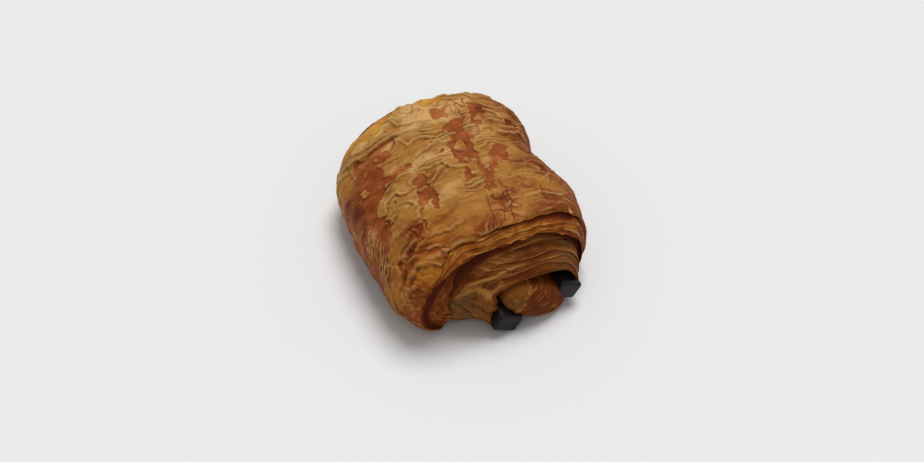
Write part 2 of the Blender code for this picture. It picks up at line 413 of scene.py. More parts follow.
@dataclass(frozen=True)
class CrustPattern:
    """The crust unrolled: where its top sheet is gone, how it is ridged, and how brown it is with painted
    shade towards the near end.
    """

    bare: tuple[Outline, ...] = (
        # The head of the long crack, its band and its foot.
        ((-3.5, 22), (-7, 24), (-10, 24.5), (-12, 24), (-11, 21.5), (-9.5, 20), (-8.5, 17.5),
         (-9, 15), (-11, 14), (-9, 10), (-8, 5.5), (-7.5, 1.5), (-7, -1.5), (-4.5, -2.5),
         (-2, 0.5), (0.5, -2), (2.5, 2), (1.5, 7.5), (0, 11), (-4, 14.5), (-2, 18), (1, 15), (-1, 20)),
        ((-5.5, 0), (-7, -1), (-6, -6), (-6.5, -11), (-9, -11.5), (-6, -16.5), (-6, -19.5),
         (-3.5, -18.5), (-4, -13.5), (-4.5, -6.5)),
        ((-3.5, -14.5), (-4, -17.5), (-3, -20), (-3, -24.5), (-4.5, -26), (-8, -25.5), (-6, -30.5),
         (-4.5, -32), (-3, -31.5), (-3.5, -27), (-2, -25), (-2, -18)),
        # Patches to the right of it, and at the far end.
        ((-14, 1), (-16.5, 4), (-19, 5.5), (-22, 5.5), (-22, 1.5), (-20, -2), (-18.5, -6),
         (-16.5, -7), (-13.5, -6), (-11.5, -8), (-8.5, -12), (-7, -10.5), (-9, -5.5), (-11.5, -2.5)),
        ((-1, 32.5), (-5, 31.5), (-7, 27), (-5.5, 26), (-0.5, 26.5), (0.5, 28.5)),
        ((-16, 31), (-19.5, 31.5), (-21, 30), (-20.5, 25.5), (-19, 22.5), (-15, 22.5), (-15, 26)),
        ((-14, 20), (-17, 19), (-16.5, 17.5), (-13.5, 17.5)),
        # Slits and the middle patch.
        ((8.5, 7.5), (6.5, 8), (3, 8), (3, 6.5), (6.5, 6.5)),
        ((1.5, -5.5), (-0.5, -6), (-1, -11), (1, -11), (2.5, -12), (2.5, -10.5), (1.5, -8)),
        ((20.5, -0.5), (17, 1), (16, -1), (16, -6), (15.5, -10), (16, -13), (18, -18), (19, -19.5),
         (20.5, -17), (18.5, -12.5), (20, -12.5), (23, -14.5), (24.5, -15.5), (23.5, -12.5),
         (22.5, -7), (21.5, -4.5)),
        ((30, -20), (28, -20.5), (28.3, -23.5), (30.5, -24)),
        ((40, -26.5), (37, -26), (35, -28), (36.5, -29.5), (40, -28.5)),
        # The left flank with its long arms over the shoulder.
        ((41, 28.5), (35, 25.5), (26, 26), (21.5, 26), (20, 23), (21, 20), (25, 18), (29.5, 16.5),
         (29, 12.5), (29.5, 9), (23, 9), (18.5, 9), (18.5, 6), (22.5, 6.5), (29, 5.5), (35, 2),
         (38, 0), (40.5, -3.5), (38.5, -6.5), (33, -9.5), (33, -11.5), (39, -13.5), (39.5, -17.5),
         (43.5, -19.5), (47.5, -22), (54, -24), (80, -26), (80, 26), (60, 27), (52, 20.5),
         (45.5, 18.5), (42.5, 18.5)),
        # The right flank and the fold at the waist.
        ((-37.5, 13), (-36.5, 18), (-39, 22), (-46, 25), (-80, 25), (-80, 2), (-43, 4),
         (-35, -3), (-30, -2), (-37, 5.5), (-39, 11)),
        ((-28, 19), (-31, 21.5), (-34, 19.5), (-34, 17), (-29, 16.5)),
        ((-17, -7.5), (-22.5, -7), (-30.5, -7.5), (-33, -10), (-33, -13), (-26, -16), (-26.5, -13),
         (-25.5, -9.7), (-19, -8.6)),
        ((-43, -24), (-43, -30), (-42, -38), (-80, -38), (-80, 2), (-47, 2), (-46, -10)),
    )
    islands: tuple[Outline, ...] = (
        ((-2.5, 10), (-4.5, 10.5), (-5.5, 9), (-4.5, 4), (-1, 4), (-0.5, 6.5)),
        ((-7.5, -1), (-10, -0.5), (-11, -3), (-7.5, -9), (-6, -9.5), (-6.5, -4)),
        ((-3.6, -28.5), (-5, -28), (-6.2, -29.3), (-5.6, -31.2), (-4, -31.4)),
        ((30.5, 9.5), (28, 12.5), (26, 11), (26.5, 8.5), (29, 8.5)),
        ((49, 24), (53, 21), (50, 18.5), (47, 20)),
        ((39.5, 12), (42, 11), (41.5, 8), (38.5, 8.5)),
    )
    cracks: tuple[Outline, ...] = (
        # The lines between the blocks at the near end of the long crack, and short ones elsewhere.
        ((-8, -17), (-8.5, -22.5), (-4.2, -26.5), (-4.5, -29.5), (-3, -32.5), (-1.5, -35.5), (1.5, -38)),
        ((-8.5, -22.5), (-8, -28), (-6, -33.5), (-5, -37.5)),
        ((-0.5, -22.5), (1.5, -29.5), (1.8, -33.5), (4, -36.5)),
        ((-4.2, -26.5), (-7.8, -27.5)),
        ((-2.5, -32.5), (-6, -33)),
        ((2, -30), (-2.5, -32)),
        ((-5, 29.5), (-9.5, 35.5), (-12, 36.5), (-12, 32), (-14.5, 28.5)),
        ((-12.5, -15.5), (-16, -18), (-18.5, -20.5)),
        ((-22, -24), (-21, -27.5), (-23, -31)),
        ((27, -18.5), (26, -21), (27.5, -25.5)),
        ((32.5, -19), (31.5, -22), (32.5, -26)),
    )
    pebbled: tuple[Outline, ...] = (
        ((-2, 2), (-7, 2), (-5, -4), (0, -3)),
        ((-10, 36), (-18, 34), (-16.5, 14), (-11, 12)),
    )
    golden: tuple[Outline, ...] = (
        # Where the second sheet shows: beyond the ragged far edge, at the left and at the near foot.
        ((57, 39.5), (52, 36), (46, 37.5), (40, 34), (35, 36), (30, 32.5), (25, 34), (20, 36.5),
         (17, 40), (14, 48), (75, 48), (75, 40)),
        ((52.5, 31), (44.5, 26.5), (42.5, 20), (47.5, 16.5), (58, 22), (60, 30)),
        ((2, 41), (-4, 43.5), (-11.5, 42.5), (-12, 39), (-6, 37), (0, 36)),
        ((26, -39), (28, -33), (34, -30), (42, -27.5), (50, -23.5), (55, -27.5), (66, -34),
         (66, -46), (26, -46)),
    )
    folds: tuple[Fold, ...] = (
        # Long edges over the far left shoulder.
        Fold(((-1, 22), (13, 24.5), (20, 26), (33, 26.5), (42, 29.5), (50, 33)), 1.1),
        Fold(((14, 27.5), (22, 28.5), (35, 30), (44, 36)), 0.8, 2.0),
        Fold(((2.5, 26.5), (12.5, 29), (16, 30.5), (18, 35), (20, 39.5)), 0.9),
        Fold(((-0.5, 33), (5, 37), (12, 35), (16.5, 40)), 0.8),
        Fold(((1, 17.5), (7.5, 18), (12.5, 19), (15.5, 17.5), (18.5, 23.5)), 0.8, 2.5),
        Fold(((2.5, 13.5), (7.5, 12), (12, 11.5), (17, 9.5)), 0.9),
        Fold(((0.5, -5.5), (5.5, -3), (7.5, 1), (13.5, 1.5), (18, 3)), 1.0, 4.0),
        Fold(((38, -2), (32, 3), (26.5, 4.5), (21.5, 7), (17, 7.5)), 0.7, 4.0),
        # The plate at the right.
        Fold(((-21, -22), (-29, -17), (-36, -18.5), (-43, -22)), 0.9, 5.0, 0.6),
        Fold(((-34, -27), (-27, -29.5), (-21.5, -27.5), (-13, -28.5)), 0.9, 4.0),
        # Creases round the left corner: the arch, the star, the square flake and the rim's lip.
        Fold(((31.5, -41), (32, -39), (34, -36.5), (37, -34.5), (39.5, -34), (43, -35), (47, -36.5),
              (51, -40)), 2.0, 2.4, 0.6),
        Fold(((34, -32), (38, -30.5), (41, -30), (42.5, -25)), 1.3, 2.4, 0.6),
        Fold(((41, -30), (42.5, -32), (43.5, -36)), 1.0, 2.0, 0.6),
        Fold(((55, -25), (52, -23.5), (48.5, -24), (45, -27), (45.5, -31), (49, -33.5), (55, -32)),
             1.6, 7.0, 0.5),
        Fold(((45.5, -42), (46, -38.5), (50, -37.5), (54, -39)), 1.1, 3.0, 0.6),
        Fold(((25, -37), (28, -36.5), (32, -36), (36, -33.5)), 1.1),
        Fold(((14, -29.5), (21, -29.5), (25.5, -28), (29, -27.5), (36, -29)), 0.9, 4.0),
    )
    flank_line: Spline = Spline((-44, -34, -28, -22, -18, -10, -5, -2, 14, 19, 26, 40),
                                (-40, -42, -41, -38, -33, -33, -31, -29, -29, -31, -34, -40))
    zones: tuple[Zone, ...] = (
        # Darker towards the near end, which is painted shade; browner along the near rim and down the right
        # flank.
        Zone(0.18, y=Rise(10, -26)),
        Zone(0.3, Rise(36, 26), Rise(-26, -37)),
        Zone(0.32, Rise(-8, -30)),
        Zone(0.3, Rise(-40, -52), Rise(6, -4)),
        Zone(0.35, Rise(-28, -40), Rise(-18, -32)),
        # Browner on the left flank's arms, low on the flank and at the near foot.
        Zone(0.25, Hump(44, 12), Hump(13, 12)),
        Zone(0.3, Rise(56, 66)),
        Zone(0.35, Rise(42, 52), Rise(-35, -40)),
        # Paler over the left shoulder, and on the square flake and the lip at the near left corner.
        Zone(-0.1, Rise(34, 58)),
        Zone(-0.25, Hump(34, 10), Rise(27, 33)),
        Zone(-0.25, Hump(34, 6), Hump(-34, 3)),
        Zone(-0.2, Hump(40, 6), Rise(-36, -38)),
    )
    plain_toast: float = 0.37
    sheet: float = 0.42
    torn_edge: Rise = Rise(-0.14, 0.16)
    gold_edge: Rise = Rise(-0.14, 0.14)
    crack_half: float = 0.25
    cell: float = 3.7
    waist_depth: float = 1.3
    dice: Chance = Chance(7)

    def warp(self, girth: Array, y: Array) -> tuple[Array, Array]:
        """Shift places about a little, so that torn edges come out ragged.

        Args:
            girth: Girths on the crust.
            y: Places along it.

        Returns:
            The shifted girths and places.
        """
        swell = self.dice.swell
        g = girth + 0.7 * swell(girth / 4.6, y / 4.6) + 0.35 * swell(girth / 2.0, y / 1.6)
        v = y + 0.6 * swell(girth / 4.2 + 31, y / 4.2) + 0.3 * swell(girth / 1.9 + 9, y / 1.6)
        return g, v

    def cover(self, girth: Array, y: Array) -> Array:
        """Return the distance to the nearest edge of the top sheet, negative where it is gone.

        Args:
            girth: Girths on the crust.
            y: Places along it.

        Returns:
            Distances in millimetres.
        """
        g, v = self.warp(girth, y)
        left = nearest_edge(self.bare, g, v)
        left = left + 1.0 * self.dice.swell(g / 3.2 + 5, v / 2.0) * bump(0, 2.0, left)
        there_and_back = tuple(line + line[-2:0:-1] for line in self.cracks)
        left = np.minimum(left, nearest_edge(there_and_back, g, v) - self.crack_half)
        pebble, crumbled = self.pebbles(girth, y)
        width = 0.1 + 0.35 * np.clip(self.dice.swell(girth / 3, y / 4 + 3) + 0.3, 0, 1)
        cracked = self.cell * pebble - width + 0.5 * np.maximum(crumbled, 0)
        scraps = self.scraps(girth, y, g, v)
        return np.minimum(np.where(left < 0, np.maximum(left, scraps), left), cracked)

    def scraps(self, girth: Array, y: Array, g: Array, v: Array) -> Array:
        """Return the distance to the edge of scraps of the top sheet left in its gaps.

        Args:
            girth: Girths on the crust.
            y: Places along it.
            g: The girths shifted about.
            v: The places shifted about.

        Returns:
            Distances in millimetres, positive on a scrap.
        """
        flank = rise(40, 50, np.abs(girth))
        share = (0.05 + 0.04 * flank) * rise(-36, -26, girth) * rise(64, 58, girth)
        share = share * (1 - bump(51, 8, girth) * bump(-11, 10, y))
        gap, lot = self.dice.cells(g / 5.5, v / 2.6)
        small_gap, small_lot = self.dice.cells(g / 2.2 + 9, v / 1.2)
        scraps = np.where(lot < share, 2.6 * gap - 0.3, -1.0)
        scraps = np.maximum(scraps, np.where(small_lot < 0.5 * share, 1.2 * small_gap - 0.12, -1.0))
        return np.maximum(scraps, -nearest_edge(self.islands, g, v))

    def gold(self, girth: Array, y: Array) -> Array:
        """Return the distance to the edge of the golden second sheet, positive where it shows."""
        return -nearest_edge(self.golden, *self.warp(girth, y))

    def calm(self, girth: Array, y: Array) -> Array:
        """Return how smooth the crust is, 1 on the plate at the near left."""
        return bump(12, 12, girth) * bump(-27, 10, y)

    def crumpled(self, girth: Array, y: Array) -> Array:
        """Return how strongly the crust is crumpled, 1 above the left foot."""
        left = bump(41, 14, girth) * rise(-17, -28, y) * rise(60, 50, girth)
        return np.clip(left + 0.5 * bump(28, 8, girth) * rise(-12, -20, y) * rise(-34, -28, y), 0, 1)

    def foot(self, girth: Array, y: Array, size: float) -> Array:
        """Return the roughness of the near foot, in lumps of a size."""
        return rise(40, 46, girth) * rise(-30, -36, y) * self.dice.rough(girth / size, y / size)

    def height(self, girth: Array, y: Array, cover: Array, gold: Array) -> Array:
        """Return how far the crust stands out.

        Args:
            girth: Girths on the crust.
            y: Places along it.
            cover: The distance to the top sheet's edge there.
            gold: The distance to the golden sheet's edge there.

        Returns:
            Heights in millimetres over the solid's plain form.
        """
        dice = self.dice
        lively = 1 - 0.85 * self.calm(girth, y)
        lively = lively * (0.1 + 0.9 * rise(56, 42, girth) * rise(-48, -32, girth))
        ridge, broad = self.ridges(girth, y), 0.8 * dice.swell(girth / 13 + 40, y / 7)
        _, lot = dice.cells(girth / 9 + 0.35 * dice.swell(girth / 4, y / 4),
                            y / 5 + 0.3 * dice.swell(girth / 5, y / 3))
        plates = 0.35 * lot
        wrinkle = 0.16 * dice.swell(girth / 5, y / 3.2) + 0.05 * dice.rough(girth / 1.7, y / 1.3, 2)
        on_top, on_gold = self.torn_edge(cover), self.gold_edge(gold)
        curl = 0.2 * bump(0.45, 0.5, cover) * rise(-0.3, 0.6, dice.swell(girth / 5 + 3, y / 5))
        over = lively * (ridge + plates) + wrinkle + self.pebble_dome(girth, y)
        under = lively * (0.15 * ridge + 0.25 * plates) + 0.8 * wrinkle
        relief = broad + self.crumple(girth, y) + on_top * over + (1 - on_top) * under
        relief += (self.sheet + curl) * on_top - self.waist_depth * self.waist(girth, y)
        relief = relief * (1 - 0.3 * on_gold) - 0.4 * on_gold
        return relief * rise(-0.8, -0.45, np.sin(FORM.angle_at(girth)))

    def ridges(self, girth: Array, y: Array) -> Array:
        """Return the ridges round the roll, large and small, weaker where folds are.

        Args:
            girth: Girths on the crust.
            y: Places along it.

        Returns:
            Heights in millimetres.
        """
        folded = rise(6, 14, girth) * rise(4, 14, y) + bump(-28, 12, girth) * rise(-12, -20, y)
        large = self.terraces(girth, y, 6.2, 1.5)
        small = self.terraces(girth + 90, y + 0.05 * girth + 3, 3.6, 0.35)
        return (large + small) * (1 - 0.55 * folded)

    def crumple(self, girth: Array, y: Array) -> Array:
        """Return the folds, and the small creases of the crumpled parts.

        Args:
            girth: Girths on the crust.
            y: Places along it.

        Returns:
            Heights in millimetres.
        """
        dice = self.dice
        creases = 0.3 * np.clip(1 - 2.4 * np.abs(dice.swell(girth / 9 + 2, y / 6)), -0.6, 1.5)
        for along, across, pitch, strength in ((0.8, 0.6, 7.5, 1.0), (0.9, -0.45, 4.5, 0.4)):
            creases = creases + self.terraces(
                along * girth + across * y, along * y - across * girth, pitch, strength, 0.8)
        bent_girth = girth + 0.5 * dice.swell(girth / 2.5 + 8, y / 2.5)
        bent_y = y + 0.6 * dice.swell(girth / 2.7, y / 2.7 + 8)
        folds = sum(fold.height(bent_girth, bent_y) for fold in self.folds)
        return self.crumpled(girth, y) * creases + 0.4 * self.foot(girth, y, 1.8) + folds

    def waist(self, girth: Array, y: Array) -> Array:
        """Return how deep the crease at the waist is, from 0 to 1."""
        return bump(0, 4, y - 12 + 4 * FORM.angle_at(girth)) * rise(-6, -26, girth)

    def amber(self, girth: Array, y: Array) -> Array:
        """Return how golden the top sheet is, most where it rolls over at the near end."""
        rolled = rise(-25, -38, y) * rise(38, 8, np.abs(girth - 14))
        return np.clip(0.75 * rolled + 0.15 * rise(-10, -30, y) + 0.7 * self.crumpled(girth, y), 0, 1)

    def terraces(self, girth: Array, y: Array, pitch: float, strength: float, soft: float = 1.0) -> Array:
        """Return a sheet's overlapping edges, which run round the roll and step down to the viewer.

        Args:
            girth: Girths on the crust.
            y: Places along it.
            pitch: About how far apart the edges are.
            strength: How high the highest ones stand.
            soft: How gently the edges rise.

        Returns:
            Heights in millimetres.
        """
        dice = self.dice
        turn = y / pitch + 1.5 * dice.swell(girth / 20, y / 9) + 0.5 * dice.swell(girth / 6, y / 4)
        row = np.floor(turn)
        share = turn - row
        high = 0.2 + 0.35 * rise(-4, 14, y) + 1.7 * dice.swell(girth / 10 + 5.3 * row, 3.7 * row)
        foot = soft * (0.13 + 0.12 * np.clip(dice.swell(girth / 8, 2.9 * row) + 0.5, 0, 1))
        step = (1 - share**0.8) * rise(0, 1, share / foot) - 0.35
        return strength * np.clip(high, 0, 1.2) * step

    def pebble_dome(self, girth: Array, y: Array) -> Array:
        """Return how far the pebbles of the broken-up crust stand out."""
        pebble, crumbled = self.pebbles(girth, y)
        return 0.3 * rise(0, 0.2, pebble) * rise(0.8, -0.4, crumbled)

    def pebbles(self, girth: Array, y: Array) -> tuple[Array, Array]:
        """Split the broken-up crust into pebbles.

        Args:
            girth: Girths on the crust.
            y: Places along it.

        Returns:
            How far inside a pebble each place is, and how far outside the broken-up parts.
        """
        soft = 0.4 * self.dice.swell(girth / 2.2, y / 2.2)
        pebble, _ = self.dice.cells((girth + soft) / self.cell, (y - soft) / (0.87 * self.cell))
        return pebble, nearest_edge(self.pebbled, girth, y)

    def toast(self, girth: Array, y: Array) -> Array:
        """Return how brown the crust is, with painted shade towards the near end.

        Args:
            girth: Girths on the crust.
            y: Places along it.

        Returns:
            Browning from 0, pale, to 1, dark.
        """
        value = self.plain_toast + 0.3 * self.dice.rough(girth / 14 + 8, y / 9, 3)
        value += sum(zone.at(girth, y) for zone in self.zones)
        value += 0.5 * rise(2, -7, girth - self.flank_line(y)) - 0.08 * self.calm(girth, y)
        value -= 0.27 * rise(14, 40, y) * rise(26, 8, np.abs(girth))
        value += 0.26 * self.crumpled(girth, y) + 0.35 * self.foot(girth, y, 2)
        return np.clip(value, 0, 1)


@dataclass(frozen=True)
class LeafPattern:
    """The leaves of dough that show along a cut."""

    dice: Chance
    pitch: float = 1.2
    stand: float = 0.9
    wander: float = 0.6
    tear: float = 0.4

    def leaves(self, depth: Array, run: Array) -> tuple[Array, Array]:
        """Work out the leaves along a cut.

        Args:
            depth: How deep in the dough.
            run: The place along the cut.

        Returns:
            How far they stand out in millimetres, and how near to a crest each place is.
        """
        dice = self.dice
        bent = dice.swell(run / 19, depth / 8) + 0.4 * dice.swell(run / 6, depth / 3)
        warped = depth + self.wander * bent
        stand, crest = 0.0, 0.0
        for order, (size, weight) in enumerate(((1.0, 0.6), (0.37, 0.4))):
            turn = warped / (size * self.pitch)
            turn += 0.5 * dice.swell(warped / (2.3 * self.pitch) + 9 * order, run / 25)
            leaf = np.floor(turn)
            share = turn - leaf
            shape = (0.35 + 0.65 * share) * rise(1, 0.88, share)
            reach = dice.swell(run / (13 - 6 * order) + 13.7 * leaf, 7.3 * leaf)
            reach += self.tear * dice.rough(run / 4.5, 3.1 * leaf + 2.2 * order, 2)
            full = np.clip(0.7 + 0.8 * reach, 0, 1.4)
            stand += weight * size**0.5 * shape * full
            crest += weight * (1 - (1 - shape) * np.clip(full + 0.2, 0, 1))
        return self.stand * stand, rise(0.3, 0.95, crest)


class Bench:
    """A node tree being wired, with the object's own shorthand for its nodes."""

    def __init__(self, tree: bpy.types.NodeTree) -> None:
        """Take the tree to wire."""
        self.tree = tree

    def node(self, kind: str, feeds: dict[str, object] | None = None, **settings: object) -> bpy.types.Node:
        """Add a node.

        Args:
            kind: Its type.
            feeds: What its inputs get, by their names.
            **settings: Its settings.

        Returns:
            The node.
        """
        made = self.tree.nodes.new(kind)
        for name, value in settings.items():
            setattr(made, name, value)
        for name, value in (feeds or {}).items():
            self.feed(made.inputs[name], value)
        return made

    def feed(self, socket: Socket, value: object) -> None:
        """Link a socket to another one, or give it a plain value.

        Args:
            socket: The input.
            value: An output of another node, a number, a vector or a colour.
        """
        if isinstance(value, Socket):
            self.tree.links.new(value, socket)
        elif socket.type == "RGBA":
            socket.default_value = (*value, 1)
        else:
            socket.default_value = value

    def math(self, operation: str, *values: object) -> Socket:
        """Reckon with a math node.

        Args:
            operation: What it does.
            *values: Its operands.

        Returns:
            Its result.
        """
        made = self.node("ShaderNodeMath", operation=operation)
        for socket, value in zip(made.inputs, values):
            self.feed(socket, value)
        return made.outputs[0]

    def times(self, first: object, *others: object) -> Socket:
        """Multiply values.

        Args:
            first: The first one.
            *others: The ones to multiply it by, one after another.

        Returns:
            Their product.
        """
        for other in others:
            first = self.math("MULTIPLY", first, other)
        return first

    def stir(self, value: object, by: object, amount: float, middle: float = 0.5) -> Socket:
        """Return a value made uneven by a noise about a middle."""
        return self.math("MULTIPLY_ADD", self.math("SUBTRACT", by, middle), amount, value)

    def mix(self, share: object, first: object, second: object) -> Socket:
        """Mix two colours.

        Args:
            share: How much of the second one, from 0 to 1.
            first: The first colour.
            second: The second colour.

        Returns:
            The colour between them.
        """
        made = self.node("ShaderNodeMix", data_type="RGBA")
        for index, value in ((0, share), (6, first), (7, second)):
            self.feed(made.inputs[index], value)
        return made.outputs[2]

    def step(self, value: object, low: float, high: float, start: float = 0.0, end: float = 1.0) -> Socket:
        """Rise smoothly as a value grows.

        Args:
            value: The value.
            low: Where the rise starts.
            high: Where it ends.
            start: The result at its start.
            end: The result at its end.

        Returns:
            The result.
        """
        made = self.node("ShaderNodeMapRange", interpolation_type="SMOOTHSTEP")
        for socket, given in zip(made.inputs, (value, low, high, start, end)):
            self.feed(socket, given)
        return made.outputs[0]

    def read(self, name: str) -> Socket:
        """Return a number that the mesh has at each point."""
        return self.node("ShaderNodeAttribute", attribute_name=name).outputs["Fac"]

    def noise(self, place: Socket, scale: float, detail: float = 3.0, rough: float = 0.5) -> Socket:
        """Return noise of about 0 to 1 at a place."""
        feeds = {"Vector": place, "Scale": scale, "Detail": detail, "Roughness": rough}
        return self.node("ShaderNodeTexNoise", feeds).outputs["Fac"]

    def stretch(self, place: Socket, scale: tuple[float, float, float]) -> Socket:
        """Return a place scaled on each axis, so that a pattern on it is drawn out."""
        return self.node("ShaderNodeMapping", {"Vector": place, "Scale": scale}).outputs[0]


@dataclass(frozen=True)
class Grain:
    """The shared effect of a baked surface: fine wrinkles, pores, slits and a mottle, by their scales."""

    fine: float = 900
    soft: float = 420
    mottle: float = 95
    pores: float = 330
    pore_patches: float = 130
    slits: float = 520
    slit_patches: float = 110
    slit_stretch: tuple[float, float, float] = (0.22, 1.0, 0.22)
    pit_depth: float = 0.8

    def group(self) -> bpy.types.NodeTree:
        """Make the node group.

        Returns:
            A group that takes a place and gives a height, specks and a mottle.
        """
        tree = bpy.data.node_groups.new("baked_grain", "ShaderNodeTree")
        tree.interface.new_socket("Place", in_out="INPUT", socket_type="NodeSocketVector")
        for name in ("Height", "Specks", "Mottle"):
            tree.interface.new_socket(name, in_out="OUTPUT", socket_type="NodeSocketFloat")
        bench = Bench(tree)
        place = bench.node("NodeGroupInput").outputs["Place"]
        fine = bench.noise(place, self.fine, 4, 0.6)
        soft = bench.noise(place, self.soft, 3, 0.55)
        pore = bench.node("ShaderNodeTexVoronoi", {"Vector": place, "Scale": self.pores}, feature="F1")
        pit = bench.times(bench.step(pore.outputs["Distance"], 0.1, 0.2, 1, 0),
                          bench.step(bench.noise(place, self.pore_patches, 1), 0.55, 0.68))
        slit = bench.noise(bench.stretch(place, self.slit_stretch), self.slits, 2, 0.5)
        slit = bench.times(bench.step(slit, 0.64, 0.71),
                           bench.step(bench.noise(place, self.slit_patches, 2), 0.45, 0.6))
        pit = bench.math("MAXIMUM", pit, slit)
        height = bench.math("MULTIPLY_ADD", fine, 0.5, bench.times(soft, 0.6))
        bench.node("NodeGroupOutput", {
            "Height": bench.math("MULTIPLY_ADD", pit, -self.pit_depth, height), "Specks": pit,
            "Mottle": bench.noise(place, self.mottle, 4, 0.6)})
        return tree


def browning_group() -> bpy.types.NodeTree:
    """Make the shared effect of browning: a colour between pale, golden and dark.

    Returns:
        A node group that takes three colours and a toast value, and gives the colour.
    """
    tree = bpy.data.node_groups.new("browning", "ShaderNodeTree")
    for name in ("Pale", "Golden", "Dark"):
        tree.interface.new_socket(name, in_out="INPUT", socket_type="NodeSocketColor")
    tree.interface.new_socket("Toast", in_out="INPUT", socket_type="NodeSocketFloat")
    tree.interface.new_socket("Color", in_out="OUTPUT", socket_type="NodeSocketColor")
    bench = Bench(tree)
    given = bench.node("NodeGroupInput").outputs
    lower = bench.mix(bench.step(given["Toast"], 0.0, 0.45), given["Pale"], given["Golden"])
    colour = bench.mix(bench.step(given["Toast"], 0.45, 1.0), lower, given["Dark"])
    bench.node("NodeGroupOutput", {"Color": colour})
    return tree


class Kitchen:
    """The shared node groups, made once."""

    def __init__(self) -> None:
        """Make the groups."""
        self.grain = Grain().group()
        self.browning = browning_group()


@dataclass(frozen=True)
class Bake:
    """Three colours of one surface as it bakes."""

    pale: Colour
    golden: Colour
    dark: Colour


def linear(red: int, green: int, blue: int) -> Colour:
    """Turn a screen colour into what the shader takes.

    Args:
        red: From 0 to 255.
        green: From 0 to 255.
        blue: From 0 to 255.

    Returns:
        The three values from 0 to 1, without the screen's curve.
    """
    shares = (c / 255 for c in (red, green, blue))
    return tuple(c / 12.92 if c < 0.0405 else ((c + 0.055) / 1.055) ** 2.4 for c in shares)


class Finish:
    """What the finishes share: a material with its bench, its grain, its gloss and its relief."""

    name: str
    gloss: float
    relief: float

    def __init__(self, kitchen: Kitchen) -> None:
        """Start the material, let the finish wire it, and give the shader what comes out.

        Args:
            kitchen: The shared node groups.
        """
        self.material = bpy.data.materials.new(self.name)
        self.material.use_nodes = True
        self.browning = kitchen.browning
        self.bench = Bench(self.material.node_tree)
        self.inputs = self.material.node_tree.nodes["Principled BSDF"].inputs
        self.place = self.bench.node("ShaderNodeTexCoord").outputs["Object"]
        grain = self.bench.node("ShaderNodeGroup", {"Place": self.place}, node_tree=kitchen.grain)
        self.grain = grain.outputs
        colour, roughness, height = self.wire()
        fine = self.bench.node("ShaderNodeBump", {
            "Strength": 1.0, "Distance": self.relief * MM, "Height": height})
        self.bench.feed(self.inputs["Base Color"], colour)
        self.bench.feed(self.inputs["Roughness"], roughness)
        self.bench.feed(self.inputs["Normal"], fine.outputs["Normal"])
        self.inputs["Specular IOR Level"].default_value = self.gloss

    def wire(self) -> tuple[Socket, Socket, Socket]:
        """Return the finish's colour, roughness and fine height."""
        raise NotImplementedError

    def brown(self, bake: Bake, toast: Socket) -> Socket:
        """Return the colour of a bake at a toast value."""
        feeds = {"Pale": bake.pale, "Golden": bake.golden, "Dark": bake.dark, "Toast": toast}
        return self.bench.node("ShaderNodeGroup", feeds, node_tree=self.browning).outputs["Color"]


class CrustFinish(Finish):
    """The crust: a matte tan top sheet over a smooth red-brown one."""

    name = "crust"
    gloss = 0.08
    relief = 0.16
    top = Bake(linear(204, 158, 97), linear(166, 113, 48), linear(122, 59, 17))
    under = Bake(linear(176, 102, 56), linear(145, 71, 28), linear(107, 41, 11))
    gold = Bake(linear(200, 146, 58), linear(174, 108, 35), linear(138, 63, 15))
    # Used for the specks, and as painted shade in a thin line along the top sheet's torn edges.
    crack = linear(80, 34, 10)
    # Painted shade: the colour that the relief's hollows are darkened towards.
    hollow = linear(98, 46, 14)
    # Painted highlight: the colour that the relief's crests are lightened towards.
    painted_highlight = linear(222, 178, 116)

    def wire(self) -> tuple[Socket, Socket, Socket]:
        """Wire the two sheets, the golden one, the lines of painted shade at their torn edges, the painted
        shade in hollows and the painted highlight on crests.

        Returns:
            The colour, the roughness and the fine height.
        """
        bench, grain = self.bench, self.grain
        uneven = bench.stir(bench.read("toast"), grain["Mottle"], 1.1)
        blotched = bench.stir(uneven, bench.noise(self.place, 170, 4), 1.6)
        torn = bench.stir(bench.read("cover"), grain["Height"], 0.35, 0.55)
        golden = self.brown(self.gold, uneven)
        upper = bench.mix(bench.read("amber"), self.brown(self.top, uneven), golden)
        colour = bench.mix(self.on_top(torn), self.brown(self.under, blotched), upper)
        colour = bench.mix(bench.step(bench.read("gold"), -0.05, 0.1), colour, golden)
        # A thin line of painted shade along the top sheet's torn edges, broken up by noise.
        broken = bench.step(bench.noise(self.place, 160, 2), 0.42, 0.6)
        edge = bench.times(bench.step(torn, -0.3, -0.06), bench.step(torn, 0.06, -0.02), broken, 0.3)
        # Specks, then painted shade in the hollows and a painted highlight on the crests.
        for share, shade in ((edge, self.crack), (bench.times(grain["Specks"], 0.55), self.crack),
                             (bench.times(bench.read("nook"), 0.62), self.hollow),
                             (bench.times(bench.read("crest"), 0.5), self.painted_highlight)):
            colour = bench.mix(share, colour, shade)
        return colour, bench.step(grain["Mottle"], 0.25, 0.75, 0.5, 0.68), grain["Height"]

    def on_top(self, torn: Socket) -> Socket:
        """Work out how much of the top sheet shows: worn thin by its edges, with crumbs beyond them.

        Args:
            torn: The distance to the top sheet's edge.

        Returns:
            A share from 0 to 1.
        """
        bench = self.bench
        share = bench.step(torn, -0.07, 0.09)
        worn = bench.step(bench.noise(self.place, 260, 3), 0.42, 0.6)
        veil = bench.times(bench.step(torn, 1.6, 0.1), worn, 0.55)
        share = bench.math("SUBTRACT", share, bench.times(share, veil))
        crumbs = bench.step(bench.noise(self.place, 430, 2), 0.56, 0.64)
        return bench.math("MAXIMUM", share, bench.times(bench.step(torn, -1.2, -0.1), crumbs, 0.6))


